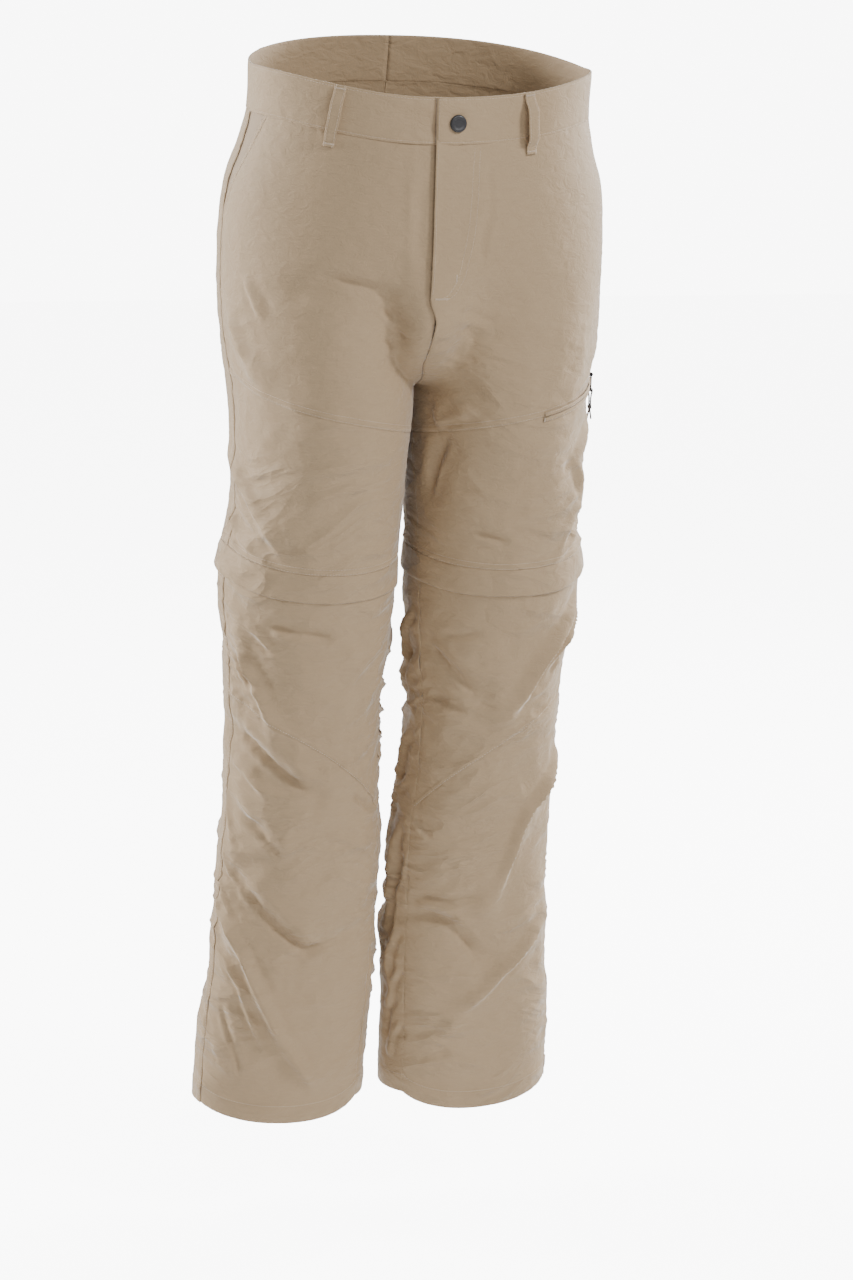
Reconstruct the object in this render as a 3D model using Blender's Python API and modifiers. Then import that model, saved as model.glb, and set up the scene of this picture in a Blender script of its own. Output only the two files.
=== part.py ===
"""Outdoor trousers with zip-off legs, in the hollow form they take on a standing wearer.

Units are metres, +Z is up, the front faces -Y and the wearer's left is +X. The origin is the middle
of the waist opening, level with the top of the waistband at the side seams. Every cloth piece is a
wall on one surface, whose points are given by a side (-1 right, +1 left), a place around (0 centre
front or inseam, 0.5 outseam, 1 centre back or inseam) and a level (the height before the waist dips).
"""

import math

import bmesh
import bpy
import numpy as np
from mathutils import Matrix, Vector

MM = 0.001
RIGHT, LEFT = -1, 1
SIDE_NAMES = {RIGHT: "right", LEFT: "left"}

# Lengths and levels in millimetres, turns in degrees. Each seam lies forward of the leg's side by its turn.
SECTION_COLUMNS = ("level", "outer", "inner", "front", "back", "inseam_turn", "outseam_turn")
SECTIONS = (
    (0, 163, 0, -110, 110, 0, 0),
    (-45, 163, 0, -112, 117, 0, 0),
    (-75, 170, 0, -114, 125, 0, 0),
    (-105, 180, 0, -116, 133, 0, 0),
    (-155, 185.5, 0, -118, 141, 0, 0),
    (-210, 184.5, 0, -117, 144, 0, 0),
    (-260, 180, 0, -115, 140, 0, 0),
    (-300, 175, 0, -112, 128, 0, 2),
    (-340, 171.5, 2.8, -105, 117, 4, 3),
    (-390, 169.5, 5, -95, 107, 8, 5),
    (-430, 173, 6.5, -88, 103, 12, 6),
    (-475, 179.5, 8, -81, 98, 16, 7),
    (-510, 179.5, 9, -75, 95, 18, 8),
    (-550, 174.5, 11, -68, 94, 20, 9),
    (-600, 170.5, 15, -60, 94, 22, 10),
    (-650, 169.5, 17, -53, 94, 24, 10),
    (-700, 168, 13.5, -47, 95, 26, 10),
    (-760, 168.5, 7.5, -39, 96, 28, 10),
    (-830, 173, 6.5, -31, 97, 30, 11),
    (-900, 177.5, 6.5, -22, 98, 32, 13),
    (-960, 184.5, 8, -14, 100, 34, 16),
    (-1070, 188, 11, -4, 106, 36, 18),
)
HIP_SQUARENESS = 2.25
LEG_SQUARENESS = 2.1

# The rise: the centre seams run in under the body to the crotch, and the thighs round out beside them.
CROTCH_LEVEL = -0.300
FRONT_RISE_START = -0.205
BACK_RISE_START = -0.165
THIGH_START = -0.120
THIGH_FULL = -0.370
RISE_WIDTH = 0.07
CROTCH_ROUNDING, CROTCH_SHARPNESS = 0.05, 0.25

# The waist dips in front and lifts behind, and the centre front seam sits a little to the wearer's right.
WAIST_DIP_FRONT, WAIST_DIP_POWER = 0.019, 3
WAIST_LIFT_BACK, WAIST_LIFT_POWER = 0.020, 1.5
CENTRE_SHIFT = -0.012
CENTRE_SHIFT_WIDTH = 0.06
CENTRE_SHIFT_FADE = (0.265, 0.300)

# Seam and edge levels
BAND_HEIGHT = 0.044
YOKE_OUTSEAM, YOKE_INSEAM = -0.291, -0.348
FLAP_OUTSEAM, FLAP_INSEAM, FLAP_SAG = -0.482, -0.492, 0.010
FLAP_HEIGHT = 0.027
LOWER_LEG_DROP = 0.008
KNEE_OUTSEAM, KNEE_INSEAM, KNEE_CURVE = -0.606, -0.730, 1.6
HEM_LEVEL, HEM_SAG, HEM_SAG_SKEW = -1.044, 0.015, 0.75

# Cloth walls, seam gaps and overlaps
CLOTH = 1.2 * MM
DOUBLE_CLOTH = 2.4 * MM
SEAM_INSET = 0.16 * MM
CLEAR = 0.35 * MM
BAND_RAISE = 0.8 * MM
LAP = 4 * MM
LAP_RAISE = 2.2 * MM
BAND_LAP_RAISE = 2.9 * MM
LAP_FADE = 0.05
FLY_BOTTOM = -0.196
FLY_END = -0.222
FLY_FLAT = -0.250

POCKET_AROUND = 0.42
POCKET_DEPTH, POCKET_CURVE = 0.090, 0.8
FACING_DROP = 2.5 * MM
FACING_BOTTOM = -0.150
FACING_TUCK = 0.03
FACING_COLUMNS, FACING_ROWS = 4, 6

# The knee flap, from its seam down: (drop, how far it stands out, share of the flare at the outseam)
FLAP_STEPS = ((0, 0.0, 0.0), (5, 1.9, 0.3), (15, 2.3, 0.7), (27, 2.6, 1.0))
FLAP_CLOTH = 1.4 * MM
FLAP_FLARE, FLAP_FLARE_WIDTH = 2.5 * MM, 0.06
ZIP_RING_ABOVE, ZIP_RING_BELOW = 4 * MM, 12 * MM
ZIP_RING_CLEAR = 0.8 * MM
ZIP_CLOTH = 1.0 * MM

COLUMNS = 12
RISE_STRAIGHT_ROWS, RISE_CURVE_ROWS, CROTCH_ROWS = 7, 6, 2
THIGH_ROWS, KNEE_ROWS, SHIN_ROWS = 8, 8, 14

# Folds: where each runs (around, level in millimetres), its half width and its height, both in
# millimetres, and which legs have it. A height below zero is a trough. Across a fold, one turn
# around the leg counts as half a metre of cloth.
AROUND_LENGTH = 0.5
FOLD_COLUMNS = ("sides", "half_width", "height", "path")
FOLDS = (
    ((RIGHT,), 13, -5.0, ((0.27, -198), (0.17, -184), (0.09, -198), (0.06, -238))),
    ((RIGHT,), 14, 3.0, ((0.45, -232), (0.40, -280))),
    ((LEFT,), 14, 3.0, ((0.47, -205), (0.42, -262))),
    ((RIGHT,), 14, 4.0, ((0.52, -372), (0.46, -398), (0.34, -440))),
    ((LEFT,), 14, 4.0, ((0.42, -345), (0.41, -400), (0.31, -445))),
    ((LEFT,), 13, -4.0, ((0.09, -350), (0.05, -400))),
    ((RIGHT,), 14, 4.5, ((0.45, -535), (0.40, -584), (0.34, -632))),
    ((RIGHT,), 15, -4.5, ((0.50, -640), (0.40, -658), (0.23, -700))),
    ((LEFT,), 14, 4.5, ((0.40, -530), (0.31, -568), (0.23, -626))),
    ((LEFT,), 14, -3.5, ((0.03, -556), (0.08, -582), (0.17, -604))),
    ((LEFT,), 13, 5.0, ((0.45, -684), (0.32, -730), (0.25, -800), (0.22, -830))),
    ((RIGHT,), 15, 5.0, ((0.48, -826), (0.37, -880), (0.32, -920), (0.16, -1015))),
    ((RIGHT,), 14, -5.0, ((0.43, -800), (0.31, -836), (0.23, -866), (0.13, -854))),
    ((LEFT,), 15, 4.5, ((0.43, -856), (0.26, -908), (0.15, -956))),
    ((LEFT,), 14, -4.0, ((0.03, -838), (0.13, -852), (0.23, -892))),
    ((RIGHT, LEFT), 15, -5.0, ((0.93, -318), (0.80, -326), (0.66, -310))),
    ((RIGHT, LEFT), 15, -4.0, ((0.90, -236), (0.80, -262), (0.68, -268))),
    ((RIGHT, LEFT), 15, -5.0, ((0.60, -556), (0.74, -572), (0.90, -560))),
    ((RIGHT, LEFT), 15, -5.0, ((0.58, -640), (0.72, -618), (0.92, -628))),
    ((RIGHT, LEFT), 15, -4.5, ((0.62, -712), (0.78, -686), (0.90, -704))),
    ((RIGHT, LEFT), 16, 4.5, ((0.60, -760), (0.72, -820), (0.88, -870))),
    ((RIGHT, LEFT), 16, -4.5, ((0.57, -905), (0.72, -930), (0.86, -970))),
)
FOLD_FREE_CENTRE = 0.06
FOLD_FREE_CENTRE_LEVEL = -0.320
FLAP_ZONE = (-0.520, -0.500, -0.455, -0.425)
HEM_ZONE = (-1.035, -1.000)

# Belt loops: name, side, place around at the top and at the bottom
LOOPS = (
    ("belt_loop_front_right", RIGHT, 0.200, 0.222),
    ("belt_loop_front_left", LEFT, 0.140, 0.146),
    ("belt_loop_back_right", RIGHT, 0.700, 0.700),
    ("belt_loop_back_left", LEFT, 0.700, 0.700),
    ("belt_loop_back_centre", LEFT, 1.0, 1.0),
)
LOOP_WIDTH = 11 * MM
LOOP_TOP, LOOP_BOTTOM = -0.001, -0.058
LOOP_CLOTH = 1.6 * MM
LOOP_BOW = 6.4 * MM
LOOP_ROWS = 12
# Shares of a loop's length, from each end: where it lifts off to its bow, and where it steps off the band
LOOP_LIFT = (0.06, 0.30)
LOOP_STEP = (0.76, 0.92)

# Thigh pocket zip on the left leg
WELT_START, WELT_END = 0.2708, 0.4896
WELT_HALF = 4.6 * MM
WELT_RAISE = 1.5 * MM
WELT_CLOTH = 1.0 * MM
WELT_STEPS = 12

SLIDER_AROUND = 0.478
SLIDER_SIZE = Vector((7.0, 2.2, 9.0)) * MM
SLIDER_ROUNDING, PULL_ROUNDING = 0.5 * MM, 0.3 * MM
LUG_SIZE = Vector((1.0, 3.0, 2.6)) * MM
LUG_SPACING = 5.6 * MM
LUG_SINK = 0.4 * MM
BAR_RADIUS = 0.6 * MM
BAR_STANDOFF = 2.1 * MM
EYE_OUTER, EYE_INNER = 1.7 * MM, 0.95 * MM
PULL_WIDTH = 3.8 * MM
PULL_THICKNESS = 1.3 * MM
PULL_LENGTH = 17 * MM
PULL_HOLE_RADIUS = 1.15 * MM
PULL_HOLE_DROP = 14.4 * MM
CORD_DIAMETER = 1.5 * MM
KNOT_DROP = 32 * MM
KNOT_RADII = Vector((2.1, 2.0, 2.6)) * MM
KNOT_SEGMENTS, KNOT_RINGS = 14, 9
ROD_SEGMENTS = 16
CUTTER_LENGTH = 10 * MM
SLIDER_CLEAR = 0.6 * MM
BAR_PLACE = Vector((0, SLIDER_SIZE.y + BAR_STANDOFF, 0))
# The cord in the pull's frame, in millimetres: half of the loop from the knot to the hole, and a free end
CORD_LOOP_HALF = (
    (0, 1.0, -29.0), (0, 1.15, -26.0), (0, 1.45, -22.5), (0, 1.7, -19.0), (0, 1.85, -16.6),
    (0, 1.75, -15.5), (0, 1.4, -14.8), (0, 0.8, -14.45), (0, 0, -14.35),
)
CORD_END = ((0.85, 0, -34.8), (1.1, 0.2, -37.5), (1.6, 0.5, -40.5), (2.4, 0.6, -44.0))

SNAP_AROUND, SNAP_LEVEL = 0.020, -0.024
SNAP_STEPS = 32
# Radius and height of the cap's profile, in millimetres, from its top down its outer side
SNAP_PROFILE = (
    (0.0, 2.3), (4.9, 2.3), (5.5, 2.75), (6.9, 2.5), (7.8, 1.7), (8.0, 0.9), (7.6, 0.0), (0.0, 0.0),
)

KHAKI = (0.413, 0.323, 0.235)
KHAKI_SHADE = (0.360, 0.279, 0.203)
SNAP_GREY = (0.130, 0.122, 0.140)
PULL_BLACK = (0.020, 0.020, 0.022)
CORD_GREY = (0.060, 0.058, 0.058)
CLOTH_ROUGHNESS, HARD_ROUGHNESS = 0.85, 0.45
SHARP_ANGLE = math.radians(50)


def section(levels, name):
    """A column of the section table at these levels, on a smooth curve through its rows."""
    rows = np.array(SECTIONS, float)[::-1]
    known = rows[:, 0] * MM
    unit = 1.0 if name.endswith("turn") else MM
    values = rows[:, SECTION_COLUMNS.index(name)] * unit
    steps = np.diff(known)
    slopes = np.diff(values) / steps
    tangents = np.concatenate(([slopes[0]], np.zeros(len(known) - 2), [slopes[-1]]))
    mixed = slopes[:-1] * steps[1:] + slopes[1:] * steps[:-1]
    tangents[1:-1] = mixed / (steps[:-1] + steps[1:])
    levels = np.clip(levels, known[0], known[-1])
    i = np.clip(np.searchsorted(known, levels) - 1, 0, len(known) - 2)
    t = (levels - known[i]) / steps[i]
    return (
        (2 * t**3 - 3 * t**2 + 1) * values[i]
        + (t**3 - 2 * t**2 + t) * steps[i] * tangents[i]
        + (3 * t**2 - 2 * t**3) * values[i + 1]
        + (t**3 - t**2) * steps[i] * tangents[i + 1]
    )


def ease(start, end, x):
    """0 before start and 1 after end, with a smooth rise between."""
    t = np.clip((x - start) / (end - start), 0, 1)
    return t * t * (3 - 2 * t)


def rounded(cosine, squareness):
    return np.sign(cosine) * np.abs(cosine) ** (2 / squareness)


def rise_share(levels, start):
    """How far the centre seam has come in under the body: 0 at start, 1 at the crotch."""
    t = np.clip((start - levels) / (start - CROTCH_LEVEL), 0, 1)
    return 1 - np.sqrt(1 - t**2)


def bare_surface(side, around, levels):
    """Points of the trousers' outer surface without folds. Past a centre seam it goes on to the other side."""
    around, levels = np.broadcast_arrays(np.asarray(around, float), np.asarray(levels, float))
    below = levels < CROTCH_LEVEL
    crossed = ~below & ((around < 0) | (around > 1))
    sign = np.where(crossed, -side, side)
    folded_back = np.where(around < 0, -around, np.where(around > 1, 2 - around, around))
    around = np.where(below & (around != 1), around % 1.0, folded_back)

    outer = section(levels, "outer")
    opening = np.clip((CROTCH_LEVEL - levels) / CROTCH_ROUNDING, 0, 1) ** CROTCH_SHARPNESS
    inner = np.where(below, section(levels, "inner") * opening, 0)
    front, back = section(levels, "front"), section(levels, "back")
    inseam_turn = np.radians(section(levels, "inseam_turn"))
    outseam_turn = np.radians(section(levels, "outseam_turn"))
    middle, depth = (front + back) / 2, (back - front) / 2
    in_front = around <= 0.5
    outseam = math.pi / 2 - outseam_turn

    hip_angle = np.where(
        in_front, around * 2 * outseam, outseam + (around - 0.5) * 2 * (math.pi - outseam)
    )
    hip_x = outer * rounded(np.sin(hip_angle), HIP_SQUARENESS)
    hip_y = middle - depth * rounded(np.cos(hip_angle), HIP_SQUARENESS)

    inseam = inseam_turn - math.pi / 2
    leg_angle = np.where(
        in_front,
        inseam + (outseam - inseam) * around * 2,
        outseam + (inseam + 2 * math.pi - outseam) * (around - 0.5) * 2,
    )
    leg_x = (outer + inner) / 2 + (outer - inner) / 2 * rounded(np.sin(leg_angle), LEG_SQUARENESS)
    leg_y = middle - depth * rounded(np.cos(leg_angle), LEG_SQUARENESS)

    rise = np.where(
        in_front, rise_share(levels, FRONT_RISE_START), rise_share(levels, BACK_RISE_START)
    )
    rise = np.where(below, 1, rise)
    thigh = ease(-THIGH_START, -THIGH_FULL, -levels)
    from_centre = np.where(in_front, around, 1 - around)
    leg_share = thigh + (rise - thigh) * np.exp(-((from_centre / RISE_WIDTH) ** 2))
    x = hip_x + (leg_x - hip_x) * leg_share
    y = hip_y + (leg_y - hip_y) * leg_share

    forward = (middle - y) / depth
    shift = CENTRE_SHIFT * (1 - ease(*CENTRE_SHIFT_FADE, -levels)) * np.clip(forward * 2, 0, 1)
    x = sign * x
    x = x + shift * np.exp(-((x / CENTRE_SHIFT_WIDTH) ** 2))
    near_waist = ease(CROTCH_LEVEL, 0, levels)
    dip = np.where(
        forward > 0,
        -WAIST_DIP_FRONT * np.abs(forward) ** WAIST_DIP_POWER,
        WAIST_LIFT_BACK * np.abs(forward) ** WAIST_LIFT_POWER,
    )
    return np.stack([x, y, levels + near_waist * dip], -1)


def bare_normals(side, around, levels):
    """Outward directions of the bare surface. In the rise each side keeps to its own half."""
    around, levels = np.broadcast_arrays(np.asarray(around, float), np.asarray(levels, float))
    step_around, step_level = 0.006, 0.003
    in_rise = levels > CROTCH_LEVEL - 1e-6
    front_rise = in_rise & (levels < FRONT_RISE_START)
    back_rise = in_rise & (levels < BACK_RISE_START)
    first = np.where(front_rise, np.maximum(around - step_around, 0), around - step_around)
    last = np.where(back_rise, np.minimum(around + step_around, 1), around + step_around)
    across = bare_surface(side, last, levels) - bare_surface(side, first, levels)
    along = bare_surface(side, around, levels - step_level) - bare_surface(
        side, around, levels + step_level
    )
    normal = np.cross(along, across) * side
    return normal / np.linalg.norm(normal, axis=-1, keepdims=True)


def distance_to_path(around, levels, path):
    """Distance on the cloth to the nearest point of a path, which may run round past the inseam."""
    best = np.full(around.shape, np.inf)
    for turn in (-1, 0, 1):
        corners = [(AROUND_LENGTH * (a + turn), level * MM) for a, level in path]
        for (x0, y0), (x1, y1) in zip(corners, corners[1:]):
            dx, dy = x1 - x0, y1 - y0
            t = ((AROUND_LENGTH * around - x0) * dx + (levels - y0) * dy) / (dx * dx + dy * dy)
            t = np.clip(t, 0, 1)
            gap = np.hypot(AROUND_LENGTH * around - x0 - t * dx, levels - y0 - t * dy)
            best = np.minimum(best, gap)
    return best


def fold_heights(side, around, levels):
    """How far the folds lift the cloth. They fade at the centre seams, the knee flap and the hem."""
    total = np.zeros(around.shape)
    for row in FOLDS:
        fold = dict(zip(FOLD_COLUMNS, row))
        if side in fold["sides"]:
            gap = distance_to_path(around, levels, fold["path"])
            total += fold["height"] * MM * np.exp(-((gap / (fold["half_width"] * MM)) ** 2))
    from_centre = np.minimum(around, 1 - around)
    above = levels > FOLD_FREE_CENTRE_LEVEL
    total *= np.where(above, ease(0, FOLD_FREE_CENTRE, from_centre), 1)
    low, flap_low, flap_high, high = FLAP_ZONE
    total *= 1 - ease(low, flap_low, levels) * (1 - ease(flap_high, high, levels))
    return total * ease(*HEM_ZONE, levels)


def surface(side, around, levels, out=0.0):
    """Points of the folded surface, moved out by a distance."""
    around, levels = np.broadcast_arrays(np.asarray(around, float), np.asarray(levels, float))
    lift = fold_heights(side, around, levels) + out
    return bare_surface(side, around, levels) + bare_normals(side, around, levels) * lift[..., None]


def mix(start, end, share):
    return start + (end - start) * share


def half_share(around):
    """0 at a centre seam or the inseam, 1 at the outseam."""
    return 1 - abs(1 - 2 * around)


def yoke_level(around):
    return mix(YOKE_INSEAM, YOKE_OUTSEAM, half_share(around))


def flap_edge_level(around):
    sag = FLAP_SAG * np.sin(2 * math.pi * np.minimum(around, 0.5))
    return mix(FLAP_INSEAM, FLAP_OUTSEAM, half_share(around)) - sag


def flap_seam_level(around):
    return flap_edge_level(around) + FLAP_HEIGHT


def lower_leg_top(around):
    return flap_seam_level(around) - LOWER_LEG_DROP


def knee_level(around):
    return mix(KNEE_OUTSEAM, KNEE_INSEAM, (1 - half_share(around)) ** KNEE_CURVE)


def hem_level(around):
    front = np.clip(2 * around, 0, 1)
    return HEM_LEVEL - HEM_SAG * np.sin(math.pi * front**HEM_SAG_SKEW)


def pocket_around(levels):
    """The outer edge of the front panel, which is cut away for the slanted pocket mouth."""
    t = np.clip((-BAND_HEIGHT - levels) / POCKET_DEPTH, 0, 1)
    return mix(POCKET_AROUND, 0.5, t**POCKET_CURVE)


def rise_levels(start):
    """Row levels along a centre seam: down the straight, round under the body, and on to the yoke seam."""
    straight = np.linspace(-BAND_HEIGHT, start, RISE_STRAIGHT_ROWS + 1)
    turns = np.linspace(0, math.pi / 2, RISE_CURVE_ROWS + 1)[1:]
    curve = start + (CROTCH_LEVEL - start) * np.sin(turns)
    below = np.linspace(CROTCH_LEVEL, YOKE_INSEAM, CROTCH_ROWS + 1)[1:]
    return np.concatenate([straight, curve, below])


def wall(name, outer, inner, colour, closed=False):
    """One cloth piece: a grid laid on the outer points and extruded to the inner ones."""
    rows, columns = outer.shape[:2]
    outer_points, inner_points = outer.reshape(-1, 3), inner.reshape(-1, 3)
    bm = bmesh.new()
    place = bm.verts.layers.int.new("place")
    bmesh.ops.create_grid(bm, x_segments=columns - 1, y_segments=rows - 1, size=1)
    bm.verts.ensure_lookup_table()
    for index, vertex in enumerate(bm.verts):
        vertex[place] = index
        vertex.co = outer_points[index]
    if closed:
        ends = {bm.verts[(row + 1) * columns - 1]: bm.verts[row * columns] for row in range(rows)}
        bmesh.ops.weld_verts(bm, targetmap=ends)
    made = bmesh.ops.extrude_face_region(bm, geom=bm.faces[:], use_keep_orig=True)
    for item in made["geom"]:
        if isinstance(item, bmesh.types.BMVert):
            item.co = inner_points[item[place]]
    bmesh.ops.recalc_face_normals(bm, faces=bm.faces[:])
    return finish(name, bm, colour)


def material(name, colour, roughness):
    made = bpy.data.materials.new(name)
    made.use_nodes = True
    shader = made.node_tree.nodes["Principled BSDF"]
    shader.inputs["Base Color"].default_value = (*colour, 1)
    shader.inputs["Roughness"].default_value = roughness
    return made


def finish(name, bm, colour, roughness=CLOTH_ROUGHNESS, group=None):
    mesh = bpy.data.meshes.new(name)
    bm.to_mesh(mesh)
    bm.free()
    mesh.shade_smooth()
    mesh.set_sharp_from_angle(angle=SHARP_ANGLE)
    obj = bpy.data.objects.new(name, mesh)
    (group or pieces).objects.link(obj)
    mesh.materials.append(material(name, colour, roughness))
    return obj


def inset(points, columns=True):
    """Draws the edges in a little, so that neighbours stay apart at their seam."""
    moved = points.copy()

    def drawn(edge, inside):
        away = inside - edge
        return edge + away / np.linalg.norm(away, axis=-1, keepdims=True) * SEAM_INSET

    if columns:
        moved[:, 0] = drawn(points[:, 0], points[:, 1])
        moved[:, -1] = drawn(points[:, -1], points[:, -2])
    moved[0] = drawn(moved[0], moved[1])
    moved[-1] = drawn(moved[-1], moved[-2])
    return moved


def keep_to_own_side(points, side, around, levels):
    """Stops the rise seams of the two sides from crossing each other, below the lap of the fly."""
    seam = bare_surface(side, np.where(around <= 0.5, 0.0, 1.0), levels)[..., 0]
    least = np.where(levels > CROTCH_LEVEL - 1e-6, side * seam, 0) + SEAM_INSET
    free = (levels > BACK_RISE_START) | ((around <= 0.5) & (levels > FLY_END))
    points[..., 0] = np.where(free, points[..., 0], side * np.maximum(side * points[..., 0], least))


def panel(name, side, around, levels, out=0.0, thickness=CLOTH, lap=0.0, colour=KHAKI):
    """A cloth wall between four seams. Around, levels and out are grids, or spread to one."""
    around, levels = np.broadcast_arrays(around, levels)
    walls = []
    for offset in (out, out - thickness):
        points = inset(surface(side, around, levels, offset))
        points[:, 0, 0] -= lap
        keep_to_own_side(points, side, around, levels)
        walls.append(points)
    return wall(name, *walls, colour)


def ring(name, side, levels, out, thickness, colour=KHAKI):
    """A closed band of cloth round one leg. Levels and out have a row for each edge or step."""
    walls = []
    for offset in (out, out - thickness):
        points = surface(side, leg_columns(), levels, offset)
        points[:, -1] = points[:, 0]
        walls.append(inset(points, columns=False))
    return wall(name, *walls, colour, closed=True)


def front_columns():
    return np.linspace(0, 0.5, COLUMNS + 1)[None, :]


def back_columns():
    return np.linspace(0.5, 1, COLUMNS + 1)[None, :]


def leg_columns():
    return np.linspace(0, 1, 2 * COLUMNS + 1)[None, :]


def rows_between(top, bottom, count):
    """Levels from one seam down to the next, both given across the columns."""
    share = np.linspace(0, 1, count + 1)[:, None]
    return mix(top, bottom, share)


def rise_grid(columns, start):
    """Levels between waistband and yoke seam, whose rows follow the curve of the rise at its centre."""
    at_centre = rise_levels(start)[:, None]
    at_outseam = np.linspace(-BAND_HEIGHT, YOKE_OUTSEAM, len(at_centre))[:, None]
    return mix(at_centre, at_outseam, half_share(columns))


def lap_raise(around, levels, height):
    """How far the left side stands out where it laps over the right at the fly."""
    return height * ease(FLY_FLAT, FLY_END, levels) * np.exp(-((around / LAP_FADE) ** 2))


def make_waistband():
    levels = rows_between(0.0, -BAND_HEIGHT, 2)
    panel("waistband_right", RIGHT, leg_columns(), levels, BAND_RAISE, DOUBLE_CLOTH)
    out = BAND_RAISE + lap_raise(leg_columns(), levels, BAND_LAP_RAISE)
    panel("waistband_left", LEFT, leg_columns(), levels, out, DOUBLE_CLOTH, lap=LAP)


def make_upper(side, name):
    front, back = front_columns(), back_columns()
    levels = rise_grid(front, FRONT_RISE_START)
    around = front * 2 * pocket_around(levels)
    out, lap = np.zeros(levels.shape), 0.0
    if side == LEFT:
        out = lap_raise(around, levels, LAP_RAISE)
        lap = LAP * ease(FLY_END, FLY_BOTTOM, levels[:, 0])
    panel(f"front_upper_{name}", side, around, levels, out, lap=lap)

    levels = rows_between(yoke_level(front), flap_seam_level(front), THIGH_ROWS)
    panel(f"thigh_front_{name}", side, front, levels)

    rise = rise_grid(back, BACK_RISE_START)
    thigh = rows_between(yoke_level(back), flap_seam_level(back), THIGH_ROWS)
    panel(f"back_upper_{name}", side, back, np.concatenate([rise, thigh[1:]]))


def make_pocket_facing(side, name):
    """The cloth that shows behind the slanted mouth of a hand pocket."""
    levels = np.linspace(-BAND_HEIGHT, FACING_BOTTOM, FACING_ROWS + 1)[:, None]
    share = np.linspace(0, 1, FACING_COLUMNS + 1)[None, :]
    around = mix(pocket_around(levels) - FACING_TUCK, 0.5, share)
    panel(f"pocket_facing_{name}", side, around, levels, -FACING_DROP, colour=KHAKI_SHADE)


def make_knee(side, name):
    """The flap that hides the zip of the removable leg, and the taped zip ring under it."""
    columns = leg_columns()
    seam = flap_seam_level(columns)
    flare = FLAP_FLARE * np.exp(-(((columns - 0.5) / FLAP_FLARE_WIDTH) ** 2))
    levels = np.concatenate([seam - drop * MM for drop, _, _ in FLAP_STEPS])
    out = np.concatenate([stand * MM + flare * share for _, stand, share in FLAP_STEPS])
    ring(f"knee_flap_{name}", side, levels, out, FLAP_CLOTH)
    levels = np.concatenate([seam + ZIP_RING_ABOVE, seam - ZIP_RING_BELOW])
    ring(f"knee_zip_{name}", side, levels, -CLOTH - ZIP_RING_CLEAR, ZIP_CLOTH, KHAKI_SHADE)


def make_lower(side, name):
    front, back = front_columns(), back_columns()
    levels = rows_between(lower_leg_top(front), knee_level(front), KNEE_ROWS)
    panel(f"knee_panel_{name}", side, front, levels)
    levels = rows_between(knee_level(front), hem_level(front), SHIN_ROWS)
    panel(f"shin_{name}", side, front, levels)

    knee = mix(KNEE_INSEAM, KNEE_OUTSEAM, half_share(back))
    above = rows_between(lower_leg_top(back), knee, KNEE_ROWS)
    below = rows_between(knee, hem_level(back), SHIN_ROWS)
    panel(f"back_lower_{name}", side, back, np.concatenate([above, below[1:]]))


def make_belt_loop(name, side, around_top, around_bottom):
    """A strip sewn down at both ends, bowed off the waistband to let a belt through."""
    share = np.linspace(0, 1, LOOP_ROWS + 1)[:, None]
    levels = mix(LOOP_TOP, LOOP_BOTTOM, share)
    centre = mix(around_top, around_bottom, share)
    nudge = 0.002
    step = bare_surface(side, centre + nudge, levels) - bare_surface(side, centre - nudge, levels)
    metres_per_around = np.linalg.norm(step, axis=-1) / (2 * nudge)
    half = LOOP_WIDTH / 2 / metres_per_around
    around = centre + half * np.array([[-1.0, 1.0]])
    bow = ease(*LOOP_LIFT, share) * ease(*LOOP_LIFT, 1 - share)
    out = CLEAR + LOOP_CLOTH + BAND_RAISE * (1 - ease(*LOOP_STEP, share)) + LOOP_BOW * bow
    walls = [surface(side, around, levels, out - depth) for depth in (0.0, LOOP_CLOTH)]
    return wall(name, *walls, KHAKI)


def make_thigh_zip():
    """The narrow welt over the zip of the thigh pocket, along the left yoke seam."""
    around = np.linspace(WELT_START, WELT_END, WELT_STEPS + 1)[None, :]
    levels = yoke_level(around) + np.array([[WELT_HALF], [0.0], [-WELT_HALF]])
    walls = [surface(LEFT, around, levels, out) for out in (WELT_RAISE, WELT_RAISE - WELT_CLOTH)]
    return wall("thigh_zip", *walls, KHAKI_SHADE)


def upright_frame(side, around, level, out):
    """A frame on the cloth: X along it, Y straight out and level, Z up."""
    point = surface(side, around, level, out)
    outward = Vector(bare_normals(side, around, level))
    outward.z = 0
    outward.normalize()
    along = outward.cross(Vector((0, 0, 1)))
    frame = Matrix((along, outward, (0, 0, 1))).transposed().to_4x4()
    frame.translation = Vector(point)
    return frame


def block(name, size, centre, frame, group, round_off=0.0):
    bm = bmesh.new()
    bmesh.ops.create_cube(bm, size=1, matrix=Matrix.Diagonal((*size, 1)))
    obj = finish(name, bm, PULL_BLACK, HARD_ROUGHNESS, group)
    obj.matrix_world = frame @ Matrix.Translation(centre)
    if round_off:
        bevel = obj.modifiers.new("rounded edges", "BEVEL")
        bevel.width = round_off
        bevel.segments = 2
    return obj


def rod(name, radius, length, centre, axis, frame, group):
    bm = bmesh.new()
    bmesh.ops.create_cone(
        bm, cap_ends=True, segments=ROD_SEGMENTS, radius1=radius, radius2=radius, depth=length
    )
    obj = finish(name, bm, PULL_BLACK, HARD_ROUGHNESS, group)
    turn = Vector((0, 0, 1)).rotation_difference(Vector(axis)).to_matrix().to_4x4()
    obj.matrix_world = frame @ Matrix.Translation(centre) @ turn
    return obj


def combine(obj, other, operation):
    other.hide_render = True
    other.display_type = "WIRE"
    made = obj.modifiers.new(other.name, "BOOLEAN")
    made.operation = operation
    made.object = other


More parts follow.
